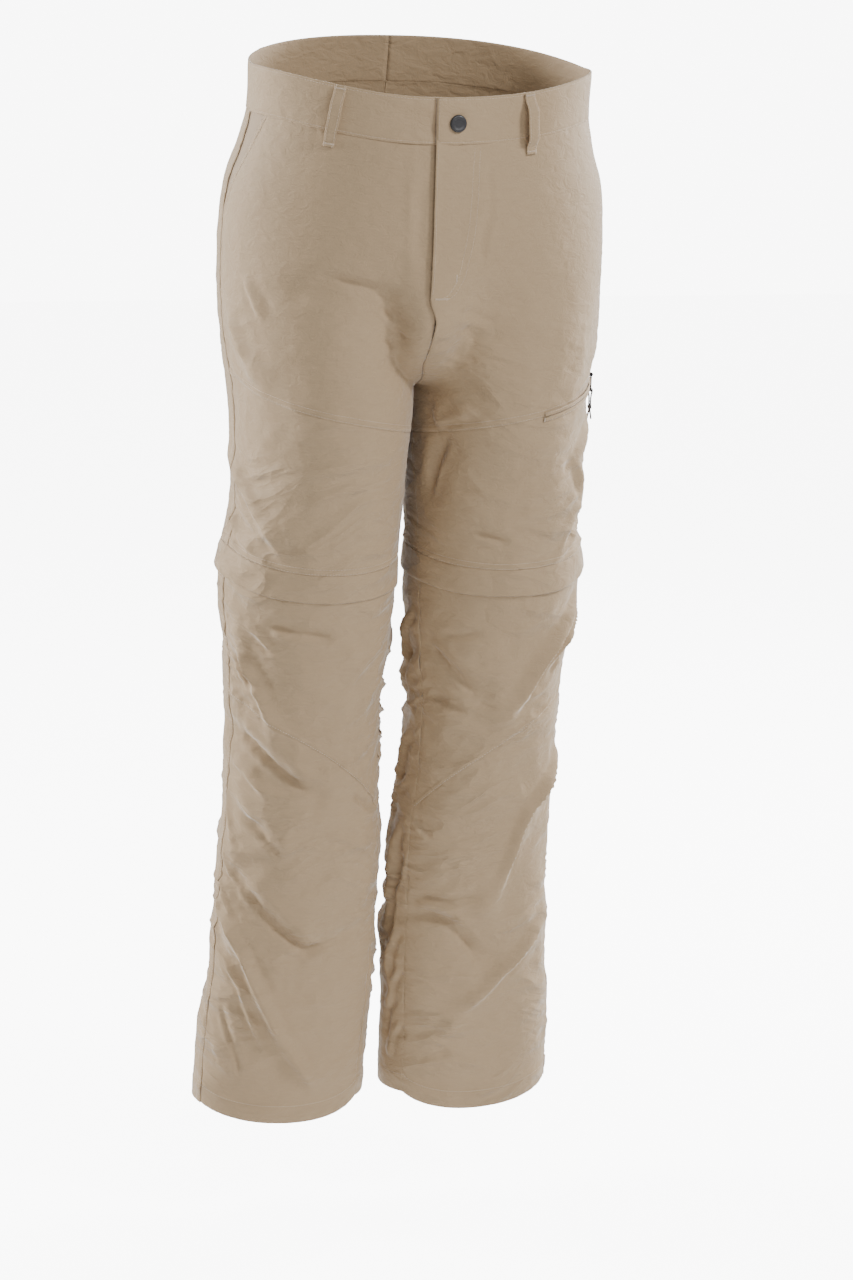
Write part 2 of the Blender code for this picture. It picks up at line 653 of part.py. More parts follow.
def make_slider(frame):
    body_centre = Vector((0, SLIDER_SIZE.y / 2, 0))
    slider = block("zip_slider", SLIDER_SIZE, body_centre, frame, pieces, SLIDER_ROUNDING)
    lug_y = SLIDER_SIZE.y + LUG_SIZE.y / 2 - LUG_SINK
    for sign in (-1, 1):
        centre = Vector((sign * LUG_SPACING / 2, lug_y, 0))
        lug = block(f"slider_lug_{sign}", LUG_SIZE, centre, frame, cutters)
        combine(slider, lug, "UNION")
    bar_length = LUG_SPACING + LUG_SIZE.x / 2
    bar = rod("slider_bar", BAR_RADIUS, bar_length, BAR_PLACE, (1, 0, 0), frame, cutters)
    combine(slider, bar, "UNION")


def make_pull(frame):
    """The tab, with its origin on the slider's bar, where it hangs and swings."""
    pivot = frame @ Matrix.Translation(BAR_PLACE)
    centre = Vector((0, 0, 0))
    pull = rod("zip_pull", EYE_OUTER, PULL_WIDTH, centre, (1, 0, 0), pivot, pieces)
    plate_size = (PULL_WIDTH, PULL_THICKNESS, PULL_LENGTH - EYE_INNER)
    plate_centre = Vector((0, 0, -(PULL_LENGTH + EYE_INNER) / 2))
    plate = block("pull_plate", plate_size, plate_centre, pivot, cutters, PULL_ROUNDING)
    combine(pull, plate, "UNION")
    eye = rod("pull_eye", EYE_INNER, CUTTER_LENGTH, centre, (1, 0, 0), pivot, cutters)
    combine(pull, eye, "DIFFERENCE")
    centre = Vector((0, 0, -PULL_HOLE_DROP))
    hole = rod("pull_hole", PULL_HOLE_RADIUS, CUTTER_LENGTH, centre, (0, 1, 0), pivot, cutters)
    combine(pull, hole, "DIFFERENCE")
    return pivot


def cord_piece(name, points, frame):
    """A stretch of round cord through points given in millimetres in the pull's frame."""
    curve = bpy.data.curves.new(name, "CURVE")
    curve.dimensions = "3D"
    curve.bevel_depth = CORD_DIAMETER / 2
    curve.bevel_resolution = 2
    curve.use_fill_caps = True
    spline = curve.splines.new("POLY")
    spline.points.add(len(points) - 1)
    for point, place in zip(spline.points, points):
        point.co = (*(Vector(place) * MM), 1)
    obj = bpy.data.objects.new(name, curve)
    pieces.objects.link(obj)
    obj.matrix_world = frame
    curve.materials.append(material(name, CORD_GREY, CLOTH_ROUGHNESS))
    return obj


def make_pull_cord(frame):
    """A doubled cord through the tab's hole, its knot, and the two free ends below the knot."""
    up = list(CORD_LOOP_HALF)
    down = [(x, -y, z) for x, y, z in reversed(up[:-1])]
    cord_piece("pull_cord_loop", up + down, frame)
    bm = bmesh.new()
    shape = Matrix.Diagonal((*KNOT_RADII, 1))
    bmesh.ops.create_uvsphere(
        bm, u_segments=KNOT_SEGMENTS, v_segments=KNOT_RINGS, radius=1, matrix=shape
    )
    knot = finish("pull_cord_knot", bm, CORD_GREY)
    knot.matrix_world = frame @ Matrix.Translation(Vector((0, 0, -KNOT_DROP)))
    for name, sign in (("front", 1), ("back", -1)):
        cord_piece(f"pull_cord_end_{name}", [(sign * x, y, z) for x, y, z in CORD_END], frame)


def make_snap():
    """The cap of the press stud on the waistband's lap, a turned profile with its axis straight out."""
    out = BAND_RAISE + lap_raise(SNAP_AROUND, SNAP_LEVEL, BAND_LAP_RAISE) + CLEAR
    bm = bmesh.new()
    corners = [bm.verts.new((radius * MM, 0, height * MM)) for radius, height in SNAP_PROFILE]
    for first, second in zip(corners, corners[1:]):
        bm.edges.new((first, second))
    snap = finish("snap_button", bm, SNAP_GREY, HARD_ROUGHNESS)
    screw = snap.modifiers.new("turned", "SCREW")
    screw.steps = SNAP_STEPS
    screw.render_steps = SNAP_STEPS
    screw.use_merge_vertices = True
    screw.merge_threshold = 0.00001
    outward = Vector(bare_normals(LEFT, SNAP_AROUND, SNAP_LEVEL))
    turn = Vector((0, 0, 1)).rotation_difference(outward).to_matrix().to_4x4()
    place = Vector(surface(LEFT, SNAP_AROUND, SNAP_LEVEL, out))
    snap.matrix_world = Matrix.Translation(place) @ turn


for thing in list(bpy.data.objects):
    bpy.data.objects.remove(thing)
pieces = bpy.data.collections.new("outdoor_trousers")
cutters = bpy.data.collections.new("cutters")
for group in (pieces, cutters):
    bpy.context.scene.collection.children.link(group)

make_waistband()
make_snap()
for leg_side, leg_name in SIDE_NAMES.items():
    make_upper(leg_side, leg_name)
    make_pocket_facing(leg_side, leg_name)
    make_knee(leg_side, leg_name)
    make_lower(leg_side, leg_name)
for loop_row in LOOPS:
    make_belt_loop(*loop_row)
make_thigh_zip()
slider_level = yoke_level(SLIDER_AROUND)
zip_frame = upright_frame(LEFT, SLIDER_AROUND, slider_level, WELT_RAISE + SLIDER_CLEAR)
make_slider(zip_frame)
make_pull_cord(make_pull(zip_frame))
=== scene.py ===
# %% [markdown]
# # Outdoor trousers with zip-off legs
# These are light woven nylon trousers, shown in the hollow form they keep on a standing wearer. The
# solid model of every sewn piece is loaded first and is never moved. Each cell then makes the cloth,
# stitching and hardware that replace those solids, at the same place and size, with finer detail.

import math

import bmesh
import bpy
import numpy as np
from mathutils import Matrix, Vector
from mathutils.bvhtree import BVHTree


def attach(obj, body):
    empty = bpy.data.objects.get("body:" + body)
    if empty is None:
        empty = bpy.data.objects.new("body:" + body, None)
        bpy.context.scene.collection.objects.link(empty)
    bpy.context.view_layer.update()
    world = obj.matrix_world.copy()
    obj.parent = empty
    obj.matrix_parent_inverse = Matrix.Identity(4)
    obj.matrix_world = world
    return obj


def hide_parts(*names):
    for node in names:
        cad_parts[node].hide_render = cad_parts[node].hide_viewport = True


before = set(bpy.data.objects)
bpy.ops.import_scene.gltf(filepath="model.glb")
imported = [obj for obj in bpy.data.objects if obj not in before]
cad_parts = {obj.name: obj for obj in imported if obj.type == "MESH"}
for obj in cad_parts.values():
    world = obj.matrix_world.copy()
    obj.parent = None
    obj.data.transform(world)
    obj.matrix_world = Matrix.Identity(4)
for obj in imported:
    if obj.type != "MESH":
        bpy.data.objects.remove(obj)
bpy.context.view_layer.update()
MM = 0.001
RIGHT, LEFT = -1, 1
SIDES = {RIGHT: "right", LEFT: "left"}


def in_scene(name, data):
    """A new object with this data, linked to the scene."""
    obj = bpy.data.objects.new(name, data)
    bpy.context.scene.collection.objects.link(obj)
    return obj


print("loaded", len(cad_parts), "solids")

# %% [markdown]
# ## Camera
# The picture is taken from a little to the wearer's right and from above, through a long lens, with
# the camera tilted by two degrees. A small sideways shift keeps the trousers where the frame has them.

# %% Set up the camera
CAMERA_PLACE = Vector((-0.877, -2.869, 0.235))
CAMERA_PITCH, CAMERA_TURN, CAMERA_ROLL = 14.8, -17.0, 2.1
CAMERA_LENS, CAMERA_SHIFT = 88.8, 0.0208
camera = in_scene("camera", bpy.data.cameras.new("camera"))
camera.data.sensor_width = 36
camera.data.lens = CAMERA_LENS
camera.data.shift_x = CAMERA_SHIFT
camera.matrix_world = (
    Matrix.Translation(CAMERA_PLACE)
    @ Matrix.Rotation(math.radians(CAMERA_TURN), 4, "Z")
    @ Matrix.Rotation(math.radians(90 - CAMERA_PITCH), 4, "X")
    @ Matrix.Rotation(math.radians(CAMERA_ROLL), 4, "Z")
)
bpy.context.scene.camera = camera
print("camera at", tuple(round(v, 3) for v in CAMERA_PLACE))

# %% [markdown]
# ## The surface that all the cloth lies on
# A garment's pieces share one surface, so it is described once. A place on it has a side, a place
# around (0 at the centre front or inseam, 0.5 at the outseam, 1 at the centre back or inseam) and a
# level. The hips have one rounded section that turns into one section for each leg, and a table
# gives the sizes of these sections down the body.

# %% Table of sections, in millimetres and degrees
SECTION_COLUMNS = ("level", "outer", "inner", "front", "back", "inseam_turn", "outseam_turn")
SECTIONS = (
    (0, 163, 0, -110, 110, 0, 0),
    (-45, 163, 0, -112, 117, 0, 0),
    (-75, 170, 0, -114, 125, 0, 0),
    (-105, 180, 0, -116, 133, 0, 0),
    (-155, 185.5, 0, -118, 141, 0, 0),
    (-210, 184.5, 0, -117, 144, 0, 0),
    (-260, 180, 0, -115, 140, 0, 0),
    (-300, 175, 0, -112, 128, 0, 2),
    (-340, 171.5, 2.8, -105, 117, 4, 3),
    (-390, 169.5, 5, -95, 107, 8, 5),
    (-430, 173, 6.5, -88, 103, 12, 6),
    (-475, 179.5, 8, -81, 98, 16, 7),
    (-510, 179.5, 9, -75, 95, 18, 8),
    (-550, 174.5, 11, -68, 94, 20, 9),
    (-600, 170.5, 15, -60, 94, 22, 10),
    (-650, 169.5, 17, -53, 94, 24, 10),
    (-700, 168, 13.5, -47, 95, 26, 10),
    (-760, 168.5, 7.5, -39, 96, 28, 10),
    (-830, 173, 6.5, -31, 97, 30, 11),
    (-900, 177.5, 6.5, -22, 98, 32, 13),
    (-960, 184.5, 8, -14, 100, 34, 16),
    (-1070, 188, 11, -4, 106, 36, 18),
)
HIP_SQUARENESS, LEG_SQUARENESS = 2.25, 2.1
CROTCH_LEVEL, FRONT_RISE_START, BACK_RISE_START = -0.300, -0.205, -0.165
THIGH_START, THIGH_FULL = -0.120, -0.370
RISE_WIDTH = 0.07
CROTCH_ROUNDING, CROTCH_SHARPNESS = 0.05, 0.25
WAIST_DIP_FRONT, WAIST_DIP_POWER = 0.019, 3
WAIST_LIFT_BACK, WAIST_LIFT_POWER = 0.020, 1.5
CENTRE_SHIFT, CENTRE_SHIFT_WIDTH, CENTRE_SHIFT_FADE = -0.012, 0.06, (0.265, 0.300)
METRES_AROUND = 0.5


# %% Points and outward directions of the surface
def ease(start, end, x):
    t = np.clip((x - start) / (end - start), 0, 1)
    return t * t * (3 - 2 * t)


def mix(start, end, share):
    return start + (end - start) * share


def section(levels, name):
    """A column of the table at these levels, on a smooth curve through its rows."""
    rows = np.array(SECTIONS, float)[::-1]
    known = rows[:, 0] * MM
    unit = 1.0 if name.endswith("turn") else MM
    values = rows[:, SECTION_COLUMNS.index(name)] * unit
    steps = np.diff(known)
    slopes = np.diff(values) / steps
    tangents = np.concatenate(([slopes[0]], np.zeros(len(known) - 2), [slopes[-1]]))
    mixed = slopes[:-1] * steps[1:] + slopes[1:] * steps[:-1]
    tangents[1:-1] = mixed / (steps[:-1] + steps[1:])
    levels = np.clip(levels, known[0], known[-1])
    i = np.clip(np.searchsorted(known, levels) - 1, 0, len(known) - 2)
    t = (levels - known[i]) / steps[i]
    return (
        (2 * t**3 - 3 * t**2 + 1) * values[i]
        + (t**3 - 2 * t**2 + t) * steps[i] * tangents[i]
        + (3 * t**2 - 2 * t**3) * values[i + 1]
        + (t**3 - t**2) * steps[i] * tangents[i + 1]
    )


def rounded(cosine, squareness):
    return np.sign(cosine) * np.abs(cosine) ** (2 / squareness)


def rise_share(levels, start):
    t = np.clip((start - levels) / (start - CROTCH_LEVEL), 0, 1)
    return 1 - np.sqrt(1 - t**2)


def bare_surface(side, around, levels):
    """Points of the smooth outer surface. Past a centre seam it goes on to the other side."""
    around, levels = np.broadcast_arrays(np.asarray(around, float), np.asarray(levels, float))
    below = levels < CROTCH_LEVEL
    crossed = ~below & ((around < 0) | (around > 1))
    sign = np.where(crossed, -side, side)
    folded_back = np.where(around < 0, -around, np.where(around > 1, 2 - around, around))
    around = np.where(below & (around != 1), around % 1.0, folded_back)

    outer = section(levels, "outer")
    opening = np.clip((CROTCH_LEVEL - levels) / CROTCH_ROUNDING, 0, 1) ** CROTCH_SHARPNESS
    inner = np.where(below, section(levels, "inner") * opening, 0)
    front, back = section(levels, "front"), section(levels, "back")
    inseam_turn = np.radians(section(levels, "inseam_turn"))
    outseam_turn = np.radians(section(levels, "outseam_turn"))
    middle, depth = (front + back) / 2, (back - front) / 2
    in_front = around <= 0.5
    outseam = math.pi / 2 - outseam_turn

    hip_angle = np.where(
        in_front, around * 2 * outseam, outseam + (around - 0.5) * 2 * (math.pi - outseam)
    )
    hip_x = outer * rounded(np.sin(hip_angle), HIP_SQUARENESS)
    hip_y = middle - depth * rounded(np.cos(hip_angle), HIP_SQUARENESS)
    inseam = inseam_turn - math.pi / 2
    leg_angle = np.where(
        in_front,
        inseam + (outseam - inseam) * around * 2,
        outseam + (inseam + 2 * math.pi - outseam) * (around - 0.5) * 2,
    )
    leg_x = (outer + inner) / 2 + (outer - inner) / 2 * rounded(np.sin(leg_angle), LEG_SQUARENESS)
    leg_y = middle - depth * rounded(np.cos(leg_angle), LEG_SQUARENESS)

    rise = np.where(
        in_front, rise_share(levels, FRONT_RISE_START), rise_share(levels, BACK_RISE_START)
    )
    rise = np.where(below, 1, rise)
    thigh = ease(-THIGH_START, -THIGH_FULL, -levels)
    from_centre = np.where(in_front, around, 1 - around)
    leg_share = thigh + (rise - thigh) * np.exp(-((from_centre / RISE_WIDTH) ** 2))
    x = hip_x + (leg_x - hip_x) * leg_share
    y = hip_y + (leg_y - hip_y) * leg_share

    forward = (middle - y) / depth
    shift = CENTRE_SHIFT * (1 - ease(*CENTRE_SHIFT_FADE, -levels)) * np.clip(forward * 2, 0, 1)
    x = sign * x
    x = x + shift * np.exp(-((x / CENTRE_SHIFT_WIDTH) ** 2))
    near_waist = ease(CROTCH_LEVEL, 0, levels)
    dip = np.where(
        forward > 0,
        -WAIST_DIP_FRONT * np.abs(forward) ** WAIST_DIP_POWER,
        WAIST_LIFT_BACK * np.abs(forward) ** WAIST_LIFT_POWER,
    )
    return np.stack([x, y, levels + near_waist * dip], -1)


NORMAL_STEP_AROUND, NORMAL_STEP_LEVEL = 0.006, 0.003


def bare_normals(side, around, levels):
    """Outward directions. Where the seat and the rise curve in, each side keeps to its own half."""
    around, levels = np.broadcast_arrays(np.asarray(around, float), np.asarray(levels, float))
    step_around, step_level = NORMAL_STEP_AROUND, NORMAL_STEP_LEVEL
    in_rise = levels > CROTCH_LEVEL - 1e-6
    front_rise = in_rise & (levels < FRONT_RISE_START)
    back_rise = in_rise & (levels < BACK_RISE_START)
    first = np.where(front_rise, np.maximum(around - step_around, 0), around - step_around)
    last = np.where(back_rise, np.minimum(around + step_around, 1), around + step_around)
    across = bare_surface(side, last, levels) - bare_surface(side, first, levels)
    along = bare_surface(side, around, levels - step_level) - bare_surface(
        side, around, levels + step_level
    )
    normal = np.cross(along, across) * side
    return normal / np.linalg.norm(normal, axis=-1, keepdims=True)


def raised(side, around, levels, height):
    """Points of the surface, moved outward by a height."""
    moved = bare_normals(side, around, levels) * np.asarray(height)[..., None]
    return bare_surface(side, around, levels) + moved


print("waist is", round(2 * bare_surface(LEFT, 0.5, 0.0)[0], 3), "m wide")

# %% [markdown]
# ## Seam lines
# Every seam is a level that changes around the leg, so that neighbouring panels share one line.

# %% Levels of the seams and edges
BAND_HEIGHT = 0.044
YOKE_OUTSEAM, YOKE_INSEAM = -0.291, -0.348
FLAP_OUTSEAM, FLAP_INSEAM, FLAP_SAG = -0.482, -0.492, 0.010
FLAP_HEIGHT, LOWER_LEG_DROP = 0.027, 0.008
KNEE_OUTSEAM, KNEE_INSEAM, KNEE_CURVE = -0.606, -0.730, 1.6
HEM_LEVEL, HEM_SAG, HEM_SAG_SKEW = -1.044, 0.015, 0.75
POCKET_AROUND, POCKET_DEPTH, POCKET_CURVE = 0.42, 0.090, 0.8
FLY_BOTTOM, FLY_END, FLY_FLAT = -0.196, -0.222, -0.250
LAP_AROUND, LAP_FADE = 0.008, 0.05
LAP_RAISE, BAND_LAP_RAISE = 2.2 * MM, 2.9 * MM
BAND_RAISE = 0.8 * MM


def half_share(around):
    return 1 - abs(1 - 2 * around)


def yoke_level(around):
    return mix(YOKE_INSEAM, YOKE_OUTSEAM, half_share(around))


def flap_edge_level(around):
    sag = FLAP_SAG * np.sin(2 * math.pi * np.clip(around, 0, 0.5))
    return mix(FLAP_INSEAM, FLAP_OUTSEAM, half_share(around)) - sag


def flap_seam_level(around):
    return flap_edge_level(around) + FLAP_HEIGHT


def lower_leg_top(around):
    return flap_seam_level(around) - LOWER_LEG_DROP


def knee_level(around):
    return mix(KNEE_OUTSEAM, KNEE_INSEAM, (1 - half_share(around)) ** KNEE_CURVE)


def hem_level(around):
    front = np.clip(2 * around, 0, 1)
    return HEM_LEVEL - HEM_SAG * np.sin(math.pi * front**HEM_SAG_SKEW)


def pocket_around(levels):
    t = np.clip((-BAND_HEIGHT - levels) / POCKET_DEPTH, 0, 1)
    return mix(POCKET_AROUND, 0.5, t**POCKET_CURVE)


def lap_raise(around, levels, height):
    """How far the left side stands out where it laps over the right at the fly."""
    return height * ease(FLY_FLAT, FLY_END, levels) * np.exp(-((around / LAP_FADE) ** 2))


def rise_level(start, share):
    """Level down a centre seam: straight, then round under the body, then on to the thigh seam."""
    lengths = np.array([-BAND_HEIGHT - start, 1.3 * (start - CROTCH_LEVEL), CROTCH_LEVEL - YOKE_INSEAM])
    first, second = np.cumsum(lengths)[:2] / lengths.sum()
    turn = np.clip((share - first) / (second - first), 0, 1) * math.pi / 2
    below = np.clip((share - second) / (1 - second), 0, 1)
    straight = mix(-BAND_HEIGHT, start, np.clip(share / first, 0, 1))
    curve = start + (CROTCH_LEVEL - start) * np.sin(turn)
    return np.where(share < first, straight, mix(curve, YOKE_INSEAM, below))


print("outseam runs from 0 to", HEM_LEVEL)

# %% [markdown]
# ## Folds and creases
# Light nylon folds softly where there is more cloth than body: under the crotch, above the knee flap,
# at the knees and down the shins. The large folds are in the solid model too. The finer creases are
# placed along short paths, with an uneven line and height, and similar ones are laid on the back. A
# cloth simulation could make them too, but paths put each one where it belongs and run fast.

# %% Tables of folds and creases: legs, half width and height in millimetres, path (around, level)
FOLDS = (
    ((RIGHT,), 13, -3.0, ((0.27, -198), (0.17, -184), (0.09, -198), (0.06, -238))),
    ((RIGHT,), 14, 3.0, ((0.45, -232), (0.40, -280))),
    ((LEFT,), 14, 3.0, ((0.47, -205), (0.42, -262))),
    ((RIGHT,), 14, 4.0, ((0.52, -372), (0.46, -398), (0.34, -440))),
    ((LEFT,), 14, 4.0, ((0.42, -345), (0.41, -400), (0.31, -445))),
    ((LEFT,), 13, -4.0, ((0.09, -350), (0.05, -400))),
    ((RIGHT,), 14, 4.5, ((0.45, -535), (0.40, -584), (0.34, -632))),
    ((RIGHT,), 15, -4.5, ((0.50, -640), (0.40, -658), (0.23, -700))),
    ((LEFT,), 14, 4.5, ((0.40, -530), (0.31, -568), (0.23, -626))),
    ((LEFT,), 14, -3.5, ((0.03, -556), (0.08, -582), (0.17, -604))),
    ((LEFT,), 13, 5.0, ((0.45, -684), (0.32, -730), (0.25, -800), (0.22, -830))),
    ((RIGHT,), 15, 5.0, ((0.48, -826), (0.37, -880), (0.32, -920), (0.16, -1015))),
    ((RIGHT,), 14, -5.0, ((0.43, -800), (0.31, -836), (0.23, -866), (0.13, -854))),
    ((LEFT,), 15, 4.5, ((0.43, -856), (0.26, -908), (0.15, -956))),
    ((LEFT,), 14, -4.0, ((0.03, -838), (0.13, -852), (0.23, -892))),
    ((RIGHT, LEFT), 15, -5.0, ((0.93, -318), (0.80, -326), (0.66, -310))),
    ((RIGHT, LEFT), 15, -4.0, ((0.90, -236), (0.80, -262), (0.68, -268))),
    ((RIGHT, LEFT), 15, -5.0, ((0.60, -556), (0.74, -572), (0.90, -560))),
    ((RIGHT, LEFT), 15, -5.0, ((0.58, -640), (0.72, -618), (0.92, -628))),
    ((RIGHT, LEFT), 15, -4.5, ((0.62, -712), (0.78, -686), (0.90, -704))),
    ((RIGHT, LEFT), 16, 4.5, ((0.60, -760), (0.72, -820), (0.88, -870))),
    ((RIGHT, LEFT), 16, -4.5, ((0.57, -905), (0.72, -930), (0.86, -970))),
)
CREASES = (
    ((RIGHT,), 9, -1.8, ((0.022, -50), (0.016, -120), (0.010, -192))),
    ((LEFT,), 8, 1.0, ((-0.002, -50), (-0.002, -120), (-0.002, -186))),
    ((LEFT,), 3, -0.7, ((0.066, -60), (0.060, -100), (0.055, -140), (0.050, -166), (0.038, -188))),
    ((RIGHT,), 4, -1.1, ((0.125, -208), (0.070, -220), (0.020, -232))),
    ((RIGHT,), 4, -1.0, ((0.110, -230), (0.055, -240), (0.012, -246))),
    ((RIGHT,), 4, 0.8, ((0.12, -219), (0.06, -231), (0.015, -239))),
    ((LEFT,), 5, -0.7, ((0.01, -214), (0.07, -218), (0.13, -232))),
    ((LEFT,), 4, -0.8, ((0.01, -230), (0.06, -238), (0.11, -256))),
    ((LEFT,), 4, 0.6, ((0.01, -222), (0.08, -229), (0.12, -244))),
    ((RIGHT,), 8, -0.9, ((0.27, -190), (0.19, -180), (0.11, -190), (0.075, -216), (0.045, -250))),
    ((RIGHT,), 6, 0.6, ((0.22, -172), (0.13, -178), (0.080, -200))),
    ((RIGHT,), 6, -0.9, ((0.13, -238), (0.07, -248), (0.02, -257))),
    ((RIGHT,), 6, 1.4, ((0.40, -190), (0.36, -232))),
    ((RIGHT,), 6, 1.5, ((0.45, -232), (0.415, -274))),
    ((RIGHT,), 6, 1.9, ((0.535, -364), (0.46, -398), (0.335, -456))),
    ((RIGHT,), 5, 1.6, ((0.53, -424), (0.455, -446), (0.39, -458))),
    ((RIGHT,), 5, -1.4, ((0.50, -388), (0.43, -418), (0.37, -436))),
    ((RIGHT,), 7, 2.2, ((0.44, -546), (0.40, -584), (0.345, -626))),
    ((RIGHT,), 6, -1.9, ((0.365, -526), (0.29, -528), (0.215, -534))),
    ((RIGHT,), 5, 1.6, ((0.42, -524), (0.345, -550))),
    ((RIGHT,), 5, -1.3, ((0.47, -560), (0.42, -584), (0.36, -590))),
    ((RIGHT,), 7, -2.0, ((0.50, -632), (0.405, -652), (0.32, -674), (0.23, -698))),
    ((RIGHT,), 6, -1.8, ((0.465, -720), (0.37, -738), (0.30, -768))),
    ((RIGHT,), 6, 1.5, ((0.49, -668), (0.42, -682), (0.35, -704))),
    ((RIGHT,), 6, 2.2, ((0.48, -826), (0.375, -878), (0.32, -918), (0.26, -964), (0.15, -1030))),
    ((RIGHT,), 7, -2.4, ((0.42, -798), (0.32, -832), (0.25, -858), (0.22, -866), (0.12, -852))),
    ((RIGHT,), 5, 1.5, ((0.465, -876), (0.38, -910), (0.33, -948), (0.285, -982))),
    ((RIGHT,), 5, -1.2, ((0.44, -930), (0.39, -968), (0.36, -1006))),
    ((RIGHT,), 5, -1.3, ((0.14, -700), (0.08, -716), (0.02, -720))),
    ((RIGHT,), 5, 1.2, ((0.20, -742), (0.12, -756), (0.04, -764))),
    ((LEFT,), 6, 1.8, ((0.425, -328), (0.385, -372), (0.405, -412), (0.315, -460))),
    ((LEFT,), 5, 1.4, ((0.47, -350), (0.45, -398), (0.41, -436))),
    ((LEFT,), 7, 2.4, ((0.455, -500), (0.395, -532), (0.315, -568), (0.23, -630))),
    ((LEFT,), 5, 1.8, ((0.465, -512), (0.41, -542), (0.335, -580))),
    ((LEFT,), 5, 1.6, ((0.45, -520), (0.40, -548), (0.36, -590))),
    ((LEFT,), 5, 2.0, ((0.45, -684), (0.325, -726), (0.255, -800), (0.23, -830))),
    ((LEFT,), 6, 1.8, ((0.425, -856), (0.26, -908), (0.155, -954))),
    ((LEFT,), 6, -2.2, ((0.09, -344), (0.055, -386), (0.035, -406))),
    ((LEFT,), 6, -1.6, ((0.145, -428), (0.21, -446))),
    ((LEFT,), 6, -1.7, ((0.005, -738), (0.08, -754))),
    ((LEFT,), 6, -1.8, ((0.015, -822), (0.125, -826), (0.215, -816))),
    ((LEFT,), 6, -2.0, ((0.02, -838), (0.13, -850), (0.23, -894))),
    ((LEFT,), 6, -2.0, ((0.02, -556), (0.08, -578), (0.165, -600))),
    ((LEFT,), 6, -1.8, ((0.02, -606), (0.11, -618), (0.165, -630))),
    ((LEFT,), 5, -1.4, ((0.07, -540), (0.16, -544))),
    ((LEFT,), 6, -1.8, ((0.04, -1006), (0.10, -998), (0.15, -990))),
    ((LEFT,), 6, 1.4, ((0.075, -302), (0.085, -326), (0.155, -312))),
    ((LEFT,), 5, 1.4, ((0.30, -470), (0.40, -440), (0.47, -424))),
    ((LEFT,), 5, 1.4, ((0.48, -452), (0.40, -462), (0.34, -468))),
    ((LEFT,), 5, 2.2, ((0.985, -520), (0.955, -548), (0.94, -590))),
    ((LEFT,), 5, -2.0, ((0.98, -560), (0.95, -590), (0.94, -630))),
    ((LEFT,), 6, 2.4, ((0.985, -640), (0.955, -668), (0.93, -720))),
    ((LEFT,), 5, 2.2, ((0.985, -700), (0.94, -720), (0.91, -760))),
    ((LEFT,), 6, 2.6, ((0.97, -745), (0.95, -800), (0.935, -860))),
    ((LEFT,), 5, -2.2, ((0.985, -770), (0.965, -820), (0.955, -880))),
    ((LEFT,), 5, 2.2, ((0.985, -860), (0.955, -890), (0.95, -940))),
    ((LEFT,), 4, 2.0, ((0.99, -905), (0.965, -925), (0.96, -960))),
    ((LEFT,), 4, -1.8, ((0.985, -940), (0.96, -960), (0.955, -990))),
    ((LEFT,), 4, 1.8, ((0.99, -965), (0.97, -985), (0.965, -1010))),
    ((RIGHT, LEFT), 7, -2.2, ((0.96, -300), (0.86, -322), (0.72, -326))),
    ((RIGHT, LEFT), 6, 1.8, ((0.94, -346), (0.84, -352), (0.70, -342))),
    ((RIGHT, LEFT), 6, -1.8, ((0.96, -262), (0.88, -282), (0.74, -290))),
    ((RIGHT, LEFT), 6, 1.6, ((0.60, -392), (0.70, -418), (0.80, -440))),
    ((RIGHT, LEFT), 6, -1.6, ((0.93, -404), (0.84, -420), (0.72, -430))),
    ((RIGHT, LEFT), 7, -2.2, ((0.58, -544), (0.72, -566), (0.88, -556))),
    ((RIGHT, LEFT), 6, 2.0, ((0.60, -590), (0.74, -598), (0.90, -588))),
    ((RIGHT, LEFT), 6, -2.0, ((0.60, -622), (0.74, -616), (0.94, -636))),
    ((RIGHT, LEFT), 6, 1.8, ((0.62, -662), (0.76, -650), (0.88, -664))),
    ((RIGHT, LEFT), 6, -1.8, ((0.60, -700), (0.76, -684), (0.93, -706))),
    ((RIGHT, LEFT), 6, 1.8, ((0.58, -760), (0.70, -806), (0.84, -850))),
    ((RIGHT, LEFT), 6, -1.6, ((0.95, -800), (0.86, -830), (0.76, -880))),
    ((RIGHT, LEFT), 6, -1.8, ((0.56, -890), (0.68, -922), (0.82, -960))),
    ((RIGHT, LEFT), 5, 1.4, ((0.60, -960), (0.74, -988), (0.86, -1010))),
)


# %% Uneven noise, and the height of a fold or crease at each point
def lumps(points, size, seed):
    """Smooth noise from -1 to 1 in space, with lumps about this size across."""
    scaled = points / size + seed * 17.3
    cell = np.floor(scaled).astype(np.int64)
    t = scaled - cell
    t = t * t * t * (t * (6 * t - 15) + 10)
    total = np.zeros(points.shape[:-1])
    for corner in np.ndindex(2, 2, 2):
        index = cell + np.array(corner)
        code = (index[..., 0] * 73856093) ^ (index[..., 1] * 19349663) ^ (index[..., 2] * 83492791)
        code = (code ^ (code >> 13)) * 1274126177 & 0x7FFFFFFF
        value = ((code ^ (code >> 16)) & 0xFFFF) / 32767.5 - 1
        total += value * np.prod(np.where(np.array(corner) == 1, t, 1 - t), axis=-1)
    return total


